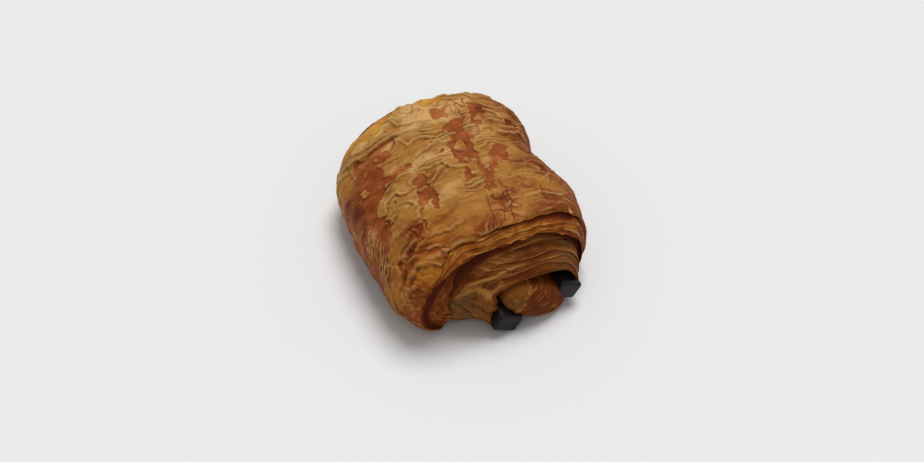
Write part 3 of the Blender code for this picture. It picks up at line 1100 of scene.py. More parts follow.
class LeafFinish(Finish):
    """The cut ends: golden leaves with dark red grooves between them."""

    name = "baked_leaves"
    gloss = 0.05
    relief = 0.14
    leaf = Bake(linear(180, 119, 44), linear(147, 80, 23), linear(113, 49, 13))
    # The grooves' dark red: their own colour, and also painted shade wherever a piece lowers its crest.
    groove = Bake(linear(120, 54, 16), linear(95, 37, 11), linear(74, 25, 8))
    lit = linear(218, 164, 88)

    def wire(self) -> tuple[Socket, Socket, Socket]:
        """Wire the grooves, the leaves and their lit crests.

        Returns:
            The colour, the roughness and the fine height.
        """
        bench, grain, crest = self.bench, self.grain, self.bench.read("crest")
        uneven = bench.stir(bench.read("toast"), grain["Mottle"], 0.5)
        ragged = bench.stir(crest, grain["Height"], 0.3)
        groove, leaf = self.brown(self.groove, uneven), self.brown(self.leaf, uneven)
        colour = bench.mix(bench.step(ragged, 0.1, 0.75), groove, leaf)
        colour = bench.mix(bench.times(bench.step(ragged, 0.86, 1.0), 0.5), colour, self.lit)
        return colour, bench.step(crest, 0.0, 1.0, 0.7, 0.5), grain["Height"]


class SoftDoughFinish(Finish):
    """The soft dough of the flap and the lobe: pale and a little see-through, browned at its edges."""

    name = "soft_dough"
    gloss = 0.08
    relief = 0.12
    soft = Bake(linear(104, 78, 37), linear(134, 79, 25), linear(112, 47, 11))
    # The grooves' dark red: their own colour, and also painted shade wherever a piece lowers its crest.
    groove = linear(76, 26, 7)
    lit = linear(204, 146, 74)
    glow = 0.05
    glow_colour = (1.0, 0.6, 0.25)
    glow_depth = 1.2

    def wire(self) -> tuple[Socket, Socket, Socket]:
        """Wire the dough with its grooves and crests, the crests with a painted highlight.

        Returns:
            The colour, the roughness and the fine height.
        """
        bench, grain = self.bench, self.grain
        uneven = bench.stir(bench.read("toast"), grain["Mottle"], 0.35)
        ragged = bench.stir(bench.read("crest"), grain["Height"], 0.3)
        colour = bench.mix(bench.step(ragged, -0.05, 0.7), self.groove, self.brown(self.soft, uneven))
        colour = bench.mix(bench.times(bench.step(ragged, 0.8, 1.0), 0.4), colour, self.lit)
        self.inputs["Subsurface Weight"].default_value = self.glow
        self.inputs["Subsurface Radius"].default_value = self.glow_colour
        self.inputs["Subsurface Scale"].default_value = self.glow_depth * MM
        return colour, bench.step(grain["Mottle"], 0.3, 0.7, 0.42, 0.6), grain["Height"]


class ChocolateFinish(Finish):
    """Dark chocolate, nearly black, with a faint bloom and soft streaks."""

    name = "dark_chocolate"
    gloss = 0.2
    relief = 0.1
    dark = linear(27, 23, 22)
    bloom = linear(54, 48, 46)

    def wire(self) -> tuple[Socket, Socket, Socket]:
        """Wire the bloom and the streaks.

        Returns:
            The colour, the roughness and the fine height.
        """
        bench, grain = self.bench, self.grain
        streak = bench.noise(bench.stretch(self.place, (1.0, 0.25, 1.0)), 380, 4, 0.6)
        veil = bench.times(bench.step(streak, 0.48, 0.75), bench.step(grain["Mottle"], 0.4, 0.62))
        height = bench.math("MULTIPLY_ADD", streak, 0.6, grain["Height"])
        return bench.mix(veil, self.dark, self.bloom), bench.step(streak, 0.3, 0.7, 0.34, 0.55), height


class FloorFinish:
    """A plain pale surface with a faint tooth."""

    white = (0.83, 0.83, 0.83)
    roughness = 0.85
    tooth = 0.15

    def __init__(self) -> None:
        """Wire the floor's material."""
        self.material = bpy.data.materials.new("pale_floor")
        self.material.use_nodes = True
        bench = Bench(self.material.node_tree)
        inputs = self.material.node_tree.nodes["Principled BSDF"].inputs
        place = bench.node("ShaderNodeTexCoord").outputs["Object"]
        fine = bench.node("ShaderNodeBump", {
            "Distance": self.tooth * MM, "Height": bench.noise(place, 240, 3, 0.6)})
        bench.feed(inputs["Normal"], fine.outputs["Normal"])
        bench.feed(inputs["Base Color"], self.white)
        bench.feed(inputs["Roughness"], self.roughness)


@contextmanager
def editing(whole: bool = True) -> Iterator[None]:
    """Edit the active mesh, and leave with nothing picked.

    Args:
        whole: Whether all of it is picked at the start, or only what was picked before.

    Returns:
        A context in which the mesh is in edit mode.
    """
    bpy.ops.object.mode_set(mode="EDIT")
    if whole:
        bpy.ops.mesh.select_all(action="SELECT")
    yield
    bpy.ops.mesh.select_all(action="DESELECT")
    bpy.ops.object.mode_set(mode="OBJECT")


@dataclass(kw_only=True)
class Piece:
    """A mesh made from a primitive, whose points are then moved to their places."""

    name: str
    node: str = "pastry"
    slot: Slot = Slot.DOUGH
    obj: bpy.types.Object = field(init=False)
    pick: Array = field(init=False)

    def take(self) -> Array:
        """Take the primitive that was just added as this piece.

        Returns:
            Its points.
        """
        self.obj = bpy.context.active_object
        self.obj.name = self.obj.data.name = self.name
        points = np.empty(len(self.obj.data.vertices) * 3)
        self.obj.data.vertices.foreach_get("co", points)
        self.pick = np.arange(len(points) // 3)
        return points.reshape(-1, 3)

    def mould(self, x: Array, y: Array, z: Array) -> None:
        """Move the points to places in millimetres.

        Args:
            x: Places across the roll.
            y: Places along it.
            z: Heights.
        """
        points = np.stack([np.broadcast_to(v, np.shape(x)).ravel()[self.pick] for v in (x, y, z)], axis=-1)
        self.obj.data.vertices.foreach_set("co", (points * MM).astype(np.float32).ravel())
        self.obj.data.update()

    def note(self, **notes: Array) -> None:
        """Keep numbers for the material to read.

        Args:
            **notes: One number for all points, or one for each, by its name.
        """
        for name, values in notes.items():
            made = self.obj.data.attributes.new(name, "FLOAT", "POINT")
            values = np.broadcast_to(values, len(self.pick)) if np.ndim(values) == 0 else values
            made.data.foreach_set("value", values.ravel()[self.pick].astype(np.float32))

    def finish_with(self, kind: str, **settings: object) -> None:
        """Add a modifier with its settings, and apply it.

        Args:
            kind: The modifier's type.
            **settings: Its settings.
        """
        made = self.obj.modifiers.new(kind.lower(), kind)
        for name, value in settings.items():
            setattr(made, name, value)
        bpy.ops.object.modifier_apply(modifier=made.name)

    def dress(self, finish: bpy.types.Material) -> None:
        """Turn the faces outwards, shade the piece smooth, give it its material and join it to the frame.

        Args:
            finish: The material.
        """
        bpy.ops.object.select_all(action="DESELECT")
        self.obj.select_set(True)
        bpy.context.view_layer.objects.active = self.obj
        with editing():
            bpy.ops.mesh.normals_make_consistent(inside=False)
        bpy.ops.object.shade_smooth()
        self.obj.data.materials.clear()
        self.obj.data.materials.append(finish)
        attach(self.obj, BODY)
        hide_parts(self.node)
        log.info("%s: %d faces", self.name, len(self.obj.data.polygons))


@dataclass(kw_only=True)
class RolledSheet(Piece):
    """A piece rolled up from a flat grid, closed round the roll and on itself."""

    weld_gap: float = 1e-4
    lowest: float = 0.05

    def roll_up(self, girth: Array, y: Array, depth: Array) -> None:
        """Roll a flat grid up round the roll.

        Args:
            girth: The girth of each row round the roll.
            y: The place along the roll of each point of a row.
            depth: How deep under the plain form each of them is.
        """
        around, loop = y.shape
        bpy.ops.mesh.primitive_grid_add(x_subdivisions=around, y_subdivisions=loop, size=1)
        across, up = self.take().T[:2] + 0.5
        i, j = (np.rint(share * steps).astype(int) % steps for share, steps in ((across, around), (up, loop)))
        self.pick = i * loop + j
        x, z = FORM.outline(FORM.angle_at(girth), y, depth)
        self.mould(x, y, np.maximum(z, self.lowest))

    def weld(self) -> None:
        """Close the sheet where its edges meet."""
        with editing():
            bpy.ops.mesh.remove_doubles(threshold=self.weld_gap * MM)


def nook(height: Array, reach: int = 3) -> Array:
    """Find the hollows of a grid.

    Args:
        height: Its heights.
        reach: How many steps each way its surroundings reach.

    Returns:
        How far each place lies below its surroundings, from 0 to 1.
    """
    around = height.copy()
    for axis in (0, 1):
        around = sum(np.roll(around, shift, axis) for shift in range(-reach, reach + 1)) / (2 * reach + 1)
    return np.clip((around - height) / 0.45, 0, 1)


def rounded(share: Array) -> Array:
    """Return how much of its fall a rounded edge has behind it, at a share of its turn."""
    return 1 - np.sqrt(1 - 0.96 * np.clip(share, 0, 1) ** 2)


@dataclass(kw_only=True)
class Crust(RolledSheet):
    """The outermost sheet of the roll, broken into flakes over a smoother sheet below."""

    name: str = "crust"
    pattern: CrustPattern = CrustPattern()
    around: int = 450
    along: int = 196
    lip: int = 4
    lip_reach: float = 0.3
    inner_run: tuple[float, ...] = (1, 0.985, 0.95, 0.7, 0.3, 0.05, 0.015, 0)
    inner_sunk: tuple[float, ...] = (0, 0.6, 2.2, 3.0, 3.0, 2.2, 0.6, 0)
    far_edge: float = 43.0
    near_edge: Spline = Spline(
        (-112, -70, -50, -38, -30, -20, -10, 0, 12, 22, 26, 31, 36, 41, 46, 52, 60, 74, 82, 90, 116),
        (-33, -36.5, -37, -36, -36.2, -37, -37.8, -37.2, -36.8, -35.6, -36.2, -38.6, -41.0, -42.2,
         -42.5, -42.6, -42.7, -42.7, -41, -34, -28))
    near_rag: float = 0.6
    far_rag: float = 1.6
    turn: Spline = Spline((-80, -14, -4, 8, 24, 34, 42, 50, 95, 110),
                          (1.6, 0.9, 1.6, 5.2, 5.2, 5.6, 4.5, 3.0, 2.5, 2.0))
    fall: Spline = Spline((-80, -14, -4, 8, 24, 34, 42, 50, 95, 110),
                          (1.0, 0.7, 1.2, 2.9, 2.6, 2.2, 1.5, 0.9, 0.7, 0.6))
    far_turn: float = 2.0
    far_fall: float = 1.2

    def surface(self, girth: Array, y: Array) -> Array:
        """Return the depth of the crust's outside under the plain form.

        Args:
            girth: Girths on the crust.
            y: Places along it.

        Returns:
            Depths in millimetres, negative where it stands out.
        """
        cover, gold = self.pattern.cover(girth, y), self.pattern.gold(girth, y)
        height = self.pattern.height(girth, y, cover, gold)
        near, _ = self.edges(girth)
        height += (np.maximum(height, 0) - height) * rise(near + 3.5, near + 0.8, y)
        return self.plain(girth, y) - height

    def thickness(self, girth: Array) -> Array:
        """Return the sheet's thickness, which is more where its near edge stands off at the right."""
        return 0.4 + 0.7 * rise(-4, -12, girth) * rise(-35, -25, girth)

    def plain(self, girth: Array, y: Array, ragged: bool = True) -> Array:
        """Return the depth of the crust without its relief.

        Args:
            girth: Girths on the crust.
            y: Places along it.
            ragged: Whether the sheet has its ragged edges.

        Returns:
            Depths in millimetres.
        """
        near, far = self.edges(girth, ragged)
        turn = self.turn(girth)
        drop = self.fall(girth) * rounded((near + turn - y) / turn)
        drop = drop + self.far_fall * rounded((y - far + self.far_turn) / self.far_turn)
        lift = 1.3 * rise(-8, -16, girth) * rise(-35, -25, girth) * rise(near + 7, near + 1, y)
        return drop - lift + 0.9 * bump(-8, 14, girth) * rise(far - 12, far, y)

    def edges(self, girth: Array, ragged: bool = True) -> tuple[Array, Array]:
        """Find where the sheet ends.

        Args:
            girth: Girths on the crust.
            ragged: Whether the sheet has its ragged edges.

        Returns:
            The places of its near and its far edge along the roll.
        """
        near, far = self.near_edge(girth), self.far_edge + np.zeros_like(girth)
        if ragged:
            near = near + self.near_rag * self.pattern.dice.rough(girth / 6, 3.0) * rise(-44, -36, girth)
            far = far + self.far_rag * self.pattern.dice.rough(girth / 9, 50.0)
        return near, far

    def build(self, finish: bpy.types.Material) -> None:
        """Model the sheet and dress it.

        Args:
            finish: Its material.
        """
        girth = FORM.columns(self.around)[:, None]
        near, far = self.edges(girth)
        y = near + (far - near) * np.linspace(0, 1, self.along)
        shown = np.broadcast_to(girth, y.shape), y
        depth, thickness = self.surface(*shown), self.thickness(girth)
        turn = np.linspace(0, np.pi, self.lip + 2)[1:-1]
        out, sink = self.lip_reach * np.sin(turn), thickness * (1 - np.cos(turn)) / 2
        inner_y = near + (far - near) * np.array(self.inner_run)
        inner_depth = self.surface(np.broadcast_to(girth, inner_y.shape), inner_y)
        inner_depth += thickness + np.array(self.inner_sunk)
        loop_y = np.concatenate([y, far + out, inner_y, near - out[::-1]], axis=1)
        self.roll_up(girth, loop_y, np.concatenate(
            [depth, depth[:, -1:] + sink, inner_depth, depth[:, :1] + sink[::-1]], axis=1))
        self.mark(shown, loop_y.shape[1] - self.along)
        self.weld()
        self.dress(finish)

    def mark(self, shown: tuple[Array, Array], hidden: int) -> None:
        """Note what the material reads: where each sheet lies, how brown it is, and its hollows and crests
        for painted shade and painted highlights.

        Args:
            shown: The girths and the places of the sheet's outside.
            hidden: How many points of each row lie on its inside.
        """
        pattern = self.pattern
        cover, gold, crumpled = pattern.cover(*shown), pattern.gold(*shown), pattern.crumpled(*shown)
        relief = pattern.height(*shown, cover, gold) - pattern.sheet * pattern.torn_edge(cover)
        notes = {
            "cover": (cover, 2.0),
            "toast": (pattern.toast(*shown), 0.75),
            "gold": (gold, -9.0),
            "amber": (pattern.amber(*shown), 0.6),
            # Painted shade in the hollows, stronger where crumpled, and a painted highlight on the crests.
            "nook": (nook(relief) * (1 + 0.35 * crumpled), 0.2),
            "crest": (nook(-relief) * (1 - 0.5 * crumpled), 0.0),
        }
        for name, (outside, inside) in notes.items():
            rest = np.full((self.around, hidden), inside)
            self.note(**{name: np.concatenate([outside, rest], axis=1)})


@dataclass(kw_only=True)
class WrapEnd(RolledSheet):
    """The outer wrap that shows under the crust at one end: a flaky golden band and a darker cut."""

    crust: Crust
    end: End
    flaky: LeafPattern = LeafPattern(Chance(21), pitch=1.7, stand=1.5, wander=1.3, tear=0.15)
    fine: LeafPattern = LeafPattern(Chance(22), pitch=2.2, stand=0.9, wander=1.2)
    around: int = 450
    side: int = 36
    cut: int = 60
    back: int = 4
    thickness: float = 9.5
    foot_thickening: float = 2.0
    reach_back: float = 19.0
    recess: float = 2.6
    band_share: float = 0.55
    step_share: float = 0.72
    step: float = 0.5
    under_crust: float = 2.6
    back_depth: float = 1.5
    rim: Spline = Spline(
        (-112, -85, -60, -40, -20, 0, 12, 24, 34, 46, 60, 74, 82, 90, 114),
        (30, 38, 41, 42.6, 42.6, 42.0, 41.6, 41.4, 42.4, 43.3, 43.3, 43.2, 41.5, 34.5, 29))
    band: Spline = Spline(
        (-90, -60, -34, -12, 0, 12, 24, 34, 46, 92), (0.4, 0.7, 1.7, 3.0, 3.0, 2.2, 1.5, 0.9, 0.3, 0.2))

    def wall(self, girth: Array) -> Array:
        """Return the wrap's thickness, which is more at the left foot."""
        return self.thickness + self.foot_thickening * rise(34, 56, girth) * rise(106, 90, girth)

    def course(self, girth: Array, start: Array, share: Array) -> tuple[Array, Array]:
        """Find how deep the cut is, from the outside of the wrap over the band and a step to its inside.

        Args:
            girth: Girths round the roll.
            start: The depth at which the cut starts.
            share: From 0 at the outside to 1 at the inside.

        Returns:
            The depths, and the depth at which the golden band ends.
        """
        band = start + np.maximum(self.band(girth) + 0.3 * self.flaky.dice.rough(girth / 11, 0.5), 0.2)
        depth = np.where(share < self.band_share, start + (band - start) * share / self.band_share,
                         band + self.step * (share - self.band_share) / (self.step_share - self.band_share))
        inward = (self.wall(girth) - band - self.step) * (share - self.step_share) / (1 - self.step_share)
        return np.where(share > self.step_share, band + self.step + inward, depth), band

    def end_line(self, girth: Array, start: Array, share: Array) -> tuple[Array, Array, Array, Array]:
        """Return the course of the cut from the outside of the wrap to its inside.

        Args:
            girth: Girths round the roll.
            start: The depth at which the cut starts.
            share: From 0 at the outside to 1 at the inside.

        Returns:
            Places counted outwards from the middle of the roll, depths, crests and browning.
        """
        dice = self.flaky.dice
        depth, band = self.course(girth, start, share)
        top = rise(46, 27, girth) * rise(-66, -48, girth)
        within = np.clip((depth - start) / (band - start), 0, 1)
        sunk = rise(0, 0.5, depth - band)
        flaky, flaky_crest = self.flaky.leaves(3.8 * within, 0.7 * girth)
        fine, fine_crest = self.fine.leaves(depth, 0.5 * girth)
        streaks = dice.rough(girth / 14, depth / 1.3, 2)
        blister = np.clip(2.0 * dice.swell(girth / 5.5, 2.6 * within + 4) - 0.3, 0, 1) * top
        # Painted shade, each with a recess: a dark line below the band, and the shade under the crust's lip
        # at the right.
        shaded_line = bump(1.3, 1.7, depth - band) * rise(84, 72, girth)
        shaded_under_lip = rise(-6, -14, girth) * rise(-40, -32, girth) * rise(0.34, 0.12, within)

        begin = abs(self.crust.near_edge(girth)) if self.end is End.NEAR else self.crust.far_edge
        begin = np.minimum(begin + 0.2, self.rim(girth))
        place = begin + (self.rim(girth) - begin) * within**0.75
        place += (1 - sunk) * ((flaky - 0.6) * (0.3 + 0.7 * top) + 0.6 * blister) * rise(0, 0.15, within)
        back = self.recess * top + 0.1 * (1 - top) + 0.5 * shaded_line
        place += sunk * (0.7 * fine - 0.3 + 0.4 * streaks - back)
        place -= 0.7 * shaded_under_lip

        crest_below = 0.1 + 0.5 * fine_crest * (1 - 0.5 * top) + (0.2 + 0.5 * streaks) * (1 - top)
        crest = (1 - sunk) * (0.1 + 0.9 * flaky_crest) * (0.4 + 0.6 * top)
        crest = (crest + sunk * crest_below * (1 - 0.8 * shaded_line)) * (1 - 0.85 * shaded_under_lip)
        toast = 0.4 + 0.35 * dice.rough(girth / 6, depth / 2) + 0.1 * (1 - top) + 0.3 * sunk - 0.25 * blister
        toast += 0.25 * shaded_line + 0.45 * rise(-30, -48, girth) * (1 - sunk) + 0.4 * shaded_under_lip
        return place, depth, crest, toast

    def build(self, finish: bpy.types.Material) -> None:
        """Model the wrap's end and dress it.

        Args:
            finish: Its material.
        """
        girth, sign = FORM.columns(self.around)[:, None], self.end.value
        wall, start = self.wall(girth), self.rim(0.0) - self.reach_back
        outer_place, _, _, _ = self.end_line(girth, np.ones_like(girth), np.zeros_like(girth))
        side_run = np.linspace(0, 1, self.side + 1)[None, :-1]
        side = start + (outer_place - start) * side_run
        grid = np.broadcast_to(girth, side.shape)
        tucked = (self.under_crust - self.crust.thickness(girth) - 0.1) * rise(0.85, 1, side_run)
        side_depth = self.crust.plain(grid, sign * side, False) + self.under_crust - tucked
        share = np.linspace(0, 1, self.cut)[None, :]
        place, cut_depth, crest, toast = self.end_line(girth, side_depth[:, -1:], share)
        inner_place = start + (place[:, -1:] - start) * np.linspace(1, 0, self.back + 2)[None, 1:-1]
        back_depth = wall + (self.back_depth - wall) * np.linspace(0, 1, self.back)[None, :]
        places = np.concatenate([side, place, inner_place, np.full(back_depth.shape, start)], axis=1)
        inner_depth = np.broadcast_to(wall, inner_place.shape)
        self.roll_up(girth, sign * places, np.concatenate(
            [side_depth, cut_depth, inner_depth, back_depth], axis=1))
        side_toast = self.crust.pattern.toast(grid, sign * side) + 0.15
        side_crest = 0.55 + 0.45 * self.flaky.dice.rough(grid / 5, side / 1.6)
        hidden = np.ones((self.around, 2 * self.back))
        self.note(crest=np.clip(np.concatenate([side_crest, crest, 0 * hidden], axis=1), 0, 1),
                  toast=np.clip(np.concatenate([side_toast, toast, hidden], axis=1), 0, 1))
        self.weld()
        self.dress(finish)


@dataclass(frozen=True)
class StripRelief:
    """What the inner wrap's end faces do, at each of its points."""

    flap: Array
    drape: Array
    fold: Array
    pocket: Array
    pocket_rim: Array
    shaded: Array
    stand: Array
    crest: Array


@dataclass(kw_only=True)
class InnerWrap(Piece):
    """The inner wrap of dough, from the right flank over the lobe and down into the flap."""

    name: str = "inner_wrap"
    line: Outline = (
        (30.8, 9.5), (29.4, 17.2), (23.5, 24.6), (13.5, 28.6), (3, 29.2),
        (-7, 27.2), (-14.8, 22), (-17.4, 14.5), (-16.4, 8.0), (-9.8, 0.8),
    )
    half: tuple[float, ...] = (2.2, 4.4, 6.6, 7.8, 8.6, 9.2, 9.8, 10.2, 9.4, 1.2)
    near_reach: tuple[float, float] = (41.0, 49.5)
    far_reach: tuple[float, float] = (45.5, 51.0)
    flap_reach: float = 2.5
    length: float = 100.0
    lowest: float = 0.1
    groove: Spline = Spline((0, 0.1, 0.2, 0.29, 0.37, 0.5, 0.62, 0.76, 1),
                            (0.2, 0.2, 0.22, 0.16, 0.13, 0.17, 0.26, 0.2, 0.0))
    leaves: LeafPattern = LeafPattern(Chance(33), pitch=2.7, stand=1.7, wander=1.6, tear=0.1)
    around: int = 248
    steps: int = 260
    face_share: float = 0.42

    def unroll(self, points: Array) -> tuple[Array, Array, Array]:
        """Find where the points of a ball go on the wrap.

        Args:
            points: The ball's points.

        Returns:
            Three shares: along the wrap's line, through its thickness, and from its near end to its far one.
        """
        share = np.arctan2(points[:, 1], points[:, 0]) / (2 * np.pi) % 1
        pole = np.abs(points[:, 2]) > 1 - 1e-6
        place = np.arccos(np.clip(points[:, 2], -1, 1)) / np.pi
        place = np.clip((place * self.steps - 1) / (self.steps - 2), 0, 1)
        corners = (0, self.face_share, 0.5, 0.5 + self.face_share, 1)
        through, run = (np.where(pole, 0.5, np.interp(share, corners, levels))
                        for levels in ((0, 1, 1, 0, 0), (0, 0, 1, 1, 0)))
        return place, through, run

    def relief(self, place: Array, through: Array, depth: Array) -> StripRelief:
        """Work out the flap, the strands, the folds, the pocket and the shaded groove of an end face.

        Args:
            place: Shares along the wrap's line.
            through: Shares through its thickness.
            depth: Distances from its middle.

        Returns:
            Their shares and heights.
        """
        dice, length = self.leaves.dice, self.length * place
        ridge_line = place - 0.64 - 0.4 * np.maximum(0.46 - through, 0) + 0.006 * dice.swell(through * 3, 0.5)
        upper = through - 0.52 + 2.1 * np.maximum(place - 0.56, 0) + 0.02 * dice.swell(length / 5, depth / 9)
        fold = 1.5 * bump(0, 0.018, ridge_line) * rise(0.12, 0.3, through) * rise(0.85, 0.7, through)
        fold += 1.1 * bump(0, 0.02, upper) * rise(0.36, 0.48, place) * rise(0.7, 0.62, place)
        around_pocket = np.hypot((place - 0.59) / 0.034, (through - 0.67) / 0.085)
        groove = self.groove(place) + 0.02 * dice.rough(length / 9, 0.5)
        fan = 1 - (1 - through) * (1 - 0.65 * rise(0.38, 0.76, place))
        stand, crest = self.leaves.leaves(17 * fan + 20, 0.55 * length)
        drape = dice.swell(through * 3.2 + 0.4 * dice.swell(length / 6, depth / 6), length / 26 + 3)
        return StripRelief(
            flap=rise(-0.01, 0.03, ridge_line), drape=np.abs(drape), fold=fold,
            pocket=0.7 * rise(1.15, 0.3, around_pocket), pocket_rim=bump(1.35, 0.3, around_pocket),
            shaded=rise(groove + 0.05, groove - 0.09, through), stand=stand, crest=crest)

    def ends(self, place: Array, through: Array, depth: Array, made: StripRelief) -> list[Array]:
        """Work out how far both end faces reach.

        Args:
            place: Shares along the wrap's line.
            through: Shares through its thickness.
            depth: Distances from its middle.
            made: What the faces do there.

        Returns:
            The near end's distances from the middle of the roll, and the far end's.
        """
        flap, length = made.flap, self.length * place
        stepped = 0.15 * rise(0.02, 0.2, through) + 0.3 * rise(0.26, 0.34, through)
        stepped += 0.55 * rise(0.3, 0.97, through)
        inside = flap * rise(0, 0.95, through) + (1 - flap) * stepped
        hollow = 1.6 * np.sin(np.pi * through) - 0.5 * self.leaves.dice.rough(length / 7, depth / 6)
        hollow = flap * (hollow + 0.8 * rise(0.16, 0.0, made.drape))
        face = (1 - 0.75 * flap) * (made.stand - 0.7) - hollow + made.fold
        face = face - 1.2 * made.pocket - 0.8 * made.shaded - 2.5 * np.abs(2 * through - 1) ** 6 + 1.8 * flap
        return [outer + (deepest + flap * self.flap_reach - outer - 1.8 * flap) * inside + face
                for outer, deepest in (self.near_reach, self.far_reach)]

    def looks(self, place: Array, through: Array, depth: Array, made: StripRelief) -> tuple[Array, Array]:
        """Work out how the wrap's layers and browning look, with painted shade in its hollows and painted
        highlights on its ridges.

        Args:
            place: Shares along the wrap's line.
            through: Shares through its thickness.
            depth: Distances from its middle.
            made: What the faces do there.

        Returns:
            Crests and browning.
        """
        dice, flap, length = self.leaves.dice, made.flap, self.length * place
        edge = flap * rise(0.8, 0.97, through + 0.05 * dice.rough(length / 3, depth / 3))
        # Painted shade along a crease of the wrap, away from the flap.
        crease_shade = (1 - flap) * rise(0.6, 0.8, through) * rise(0.5, 0.36, place)
        toast = (1 - flap) * (0.78 + 0.35 * dice.rough(length / 14, depth / 3)) + 0.3 * flap * through
        toast += 0.6 * edge + 0.25 * flap * rise(0.5, 0.12, through)
        toast += (0.2 + 0.1 * flap) * dice.rough(length / 5, depth / 3)
        toast += flap * (0.3 * rise(0.9, 1.0, place) + 0.3 * rise(0.35, 0.7, through))
        toast += (1 - flap) * (0.25 * rise(0.5, 0.85, place) - 0.3 * rise(0.42, 0.3, place))
        toast += (0.45 - toast) * np.clip(made.fold + 0.3 * made.pocket_rim, 0, 1)
        on_flap = 0.58 + 0.16 * made.crest + 0.25 * dice.rough(length / 6, depth / 2.5) - 0.15 * edge
        # Painted shade in the drape's creases on the flap.
        on_flap -= 0.25 * rise(0.16, 0.0, made.drape)
        crest = (1 - flap) * (0.1 + 0.9 * made.crest) + flap * on_flap
        # Painted shade in the shaded groove, the crease and the pocket; painted highlights on the folds, the
        # pocket's rim and a line along the inner edge.
        crest = crest * (1 - 0.85 * made.shaded) * (1 - 0.4 * crease_shade) * (1 - 0.8 * made.pocket)
        crest += 0.4 * made.fold + 0.15 * made.pocket_rim
        crest += 0.5 * rise(0.88, 0.96, through) * rise(0.34, 0.42, place) * rise(0.68, 0.62, place)
        return crest, toast

    def build(self, finish: bpy.types.Material) -> None:
        """Model the inner wrap and dress it.

        Args:
            finish: Its material.
        """
        bpy.ops.mesh.primitive_uv_sphere_add(segments=self.around, ring_count=self.steps, radius=1)
        place, through, run = self.unroll(self.take())
        knots = tuple(np.linspace(0, 1, len(self.line)))
        line, half = Spline(knots, self.line), Spline(knots, self.half)
        ahead = line(np.minimum(place + 0.01, 1)) - line(np.maximum(place - 0.01, 0))
        inward = np.stack([-ahead[:, 1], ahead[:, 0]], axis=1) / np.hypot(*ahead.T)[:, None]
        depth = (2 * through - 1) * half(place)
        made = self.relief(place, through, depth)
        near, far = self.ends(place, through, depth, made)
        x, z = (line(place) + inward * depth[:, None]).T
        self.mould(x, -near + (near + far) * run, np.maximum(z, self.lowest))
        crest, toast = self.looks(place, through, depth, made)
        self.note(crest=np.clip(crest, 0, 1), toast=np.clip(toast, 0, 1))
        self.dress(finish)


def tilted(centre: tuple[float, float], a: Array, b: Array, tilt: float = -31.0) -> tuple[Array, Array]:
    """Find places on the tilted roll's section.

    Args:
        centre: The X and Z that they are counted from.
        a: How far along the tilted section.
        b: How far across it.
        tilt: Its slope in degrees.

    Returns:
        X and Z.
    """
    turn = math.radians(tilt)
    x = centre[0] + a * math.cos(turn) - b * math.sin(turn)
    z = centre[1] + a * math.sin(turn) + b * math.cos(turn)
    return x, z


@dataclass(kw_only=True)
class Lobe(Piece):
    """The dough's first fold between the sticks, an oval roll with domed ends."""

    name: str = "lobe"
    centre: tuple[float, float] = (9.2, 9.2)
    half: tuple[float, float] = (15.6, 8.8)
    near_reach: float = 54.0
    far_reach: float = 53.0
    dome: float = 6.5
    fullness: float = 0.8
    lowest: float = 0.1
    seam_slope: float = 0.05
    seam_place: float = 8.0
    around: int = 240
    rings: int = 180
    dice: Chance = Chance(55)

    def build(self, finish: bpy.types.Material) -> None:
        """Model the lobe and dress it.

        Args:
            finish: Its material.
        """
        bpy.ops.mesh.primitive_uv_sphere_add(segments=self.around, ring_count=self.rings, radius=1)
        points, dice = self.take(), self.dice
        turn = np.arctan2(points[:, 1], points[:, 0])
        polar = np.arccos(np.clip(points[:, 2], -1, 1))
        fold = np.minimum(polar, np.pi - polar)
        size = np.sin(fold) ** self.fullness
        drop = self.dome * (1 - np.clip(np.cos(fold), 0, 1) ** self.fullness)
        a, b = self.half[0] * size * np.cos(turn), self.half[1] * size * np.sin(turn)

        seam = a - self.seam_slope * b + self.seam_place + 0.6 * dice.swell(b / 5, a / 9)
        split, ridge = rise(-0.8, 0.8, seam), bump(0.2, 0.9, seam)
        strand = (0.7 * a - 0.75 * b) / 0.45 + 0.8 * dice.swell(a / 6, b / 6)
        lines = np.abs(dice.swell(strand, (0.5 * a + b) / 9))
        fine = dice.rough(a / 2.5, b / 2.5)
        relief = (0.12 + 0.4 * split) * (lines - 0.3) + 0.25 * fine + 0.5 * ridge - 0.5 * (1 - split)
        near = polar < np.pi / 2
        y = np.where(near, drop - self.near_reach - relief, self.far_reach - drop + relief)
        swell = 1 + 0.012 * relief
        x, z = tilted(self.centre, a * swell, b * swell)
        self.mould(x, y, np.maximum(z, self.lowest))
        toast = 0.36 + 0.56 * split + 0.25 * fine - 0.1 * ridge + 0.15 * rise(0.9, 1.0, size)
        crest = 0.62 + (0.3 + 0.6 * split) * (lines - 0.25) + 0.3 * fine + 0.3 * ridge
        self.note(toast=np.clip(toast, 0, 1), crest=np.clip(crest, 0, 1))
        self.dress(finish)


@dataclass(kw_only=True)
class Core(Piece):
    """The dough inside the wraps, seen only deep in the gaps."""

    name: str = "core"
    depth: float = 7.5
    near: float = -31.0
    far: float = 36.0
    lowest: float = 0.3
    rounding: float = 3.0
    rounding_steps: int = 4
    sides: int = 120
    # A low crest and a high toast give it the darkest groove colour: painted shade for the deep gaps.
    crest: float = 0.15
    toast: float = 0.9

    def build(self, finish: bpy.types.Material) -> None:
        """Model the inside and dress it.

        Args:
            finish: Its material.
        """
        bpy.ops.mesh.primitive_cylinder_add(vertices=self.sides, radius=1, depth=2)
        points = self.take()
        y = np.where(points[:, 2] < 0, self.near, self.far)
        x, z = FORM.outline(np.arctan2(points[:, 1], points[:, 0]), y, self.depth)
        self.mould(x, y, np.maximum(z, self.lowest))
        self.finish_with("BEVEL", width=self.rounding * MM, segments=self.rounding_steps,
                         limit_method="ANGLE")
        self.take()
        self.note(crest=self.crest, toast=self.toast)
        self.dress(finish)


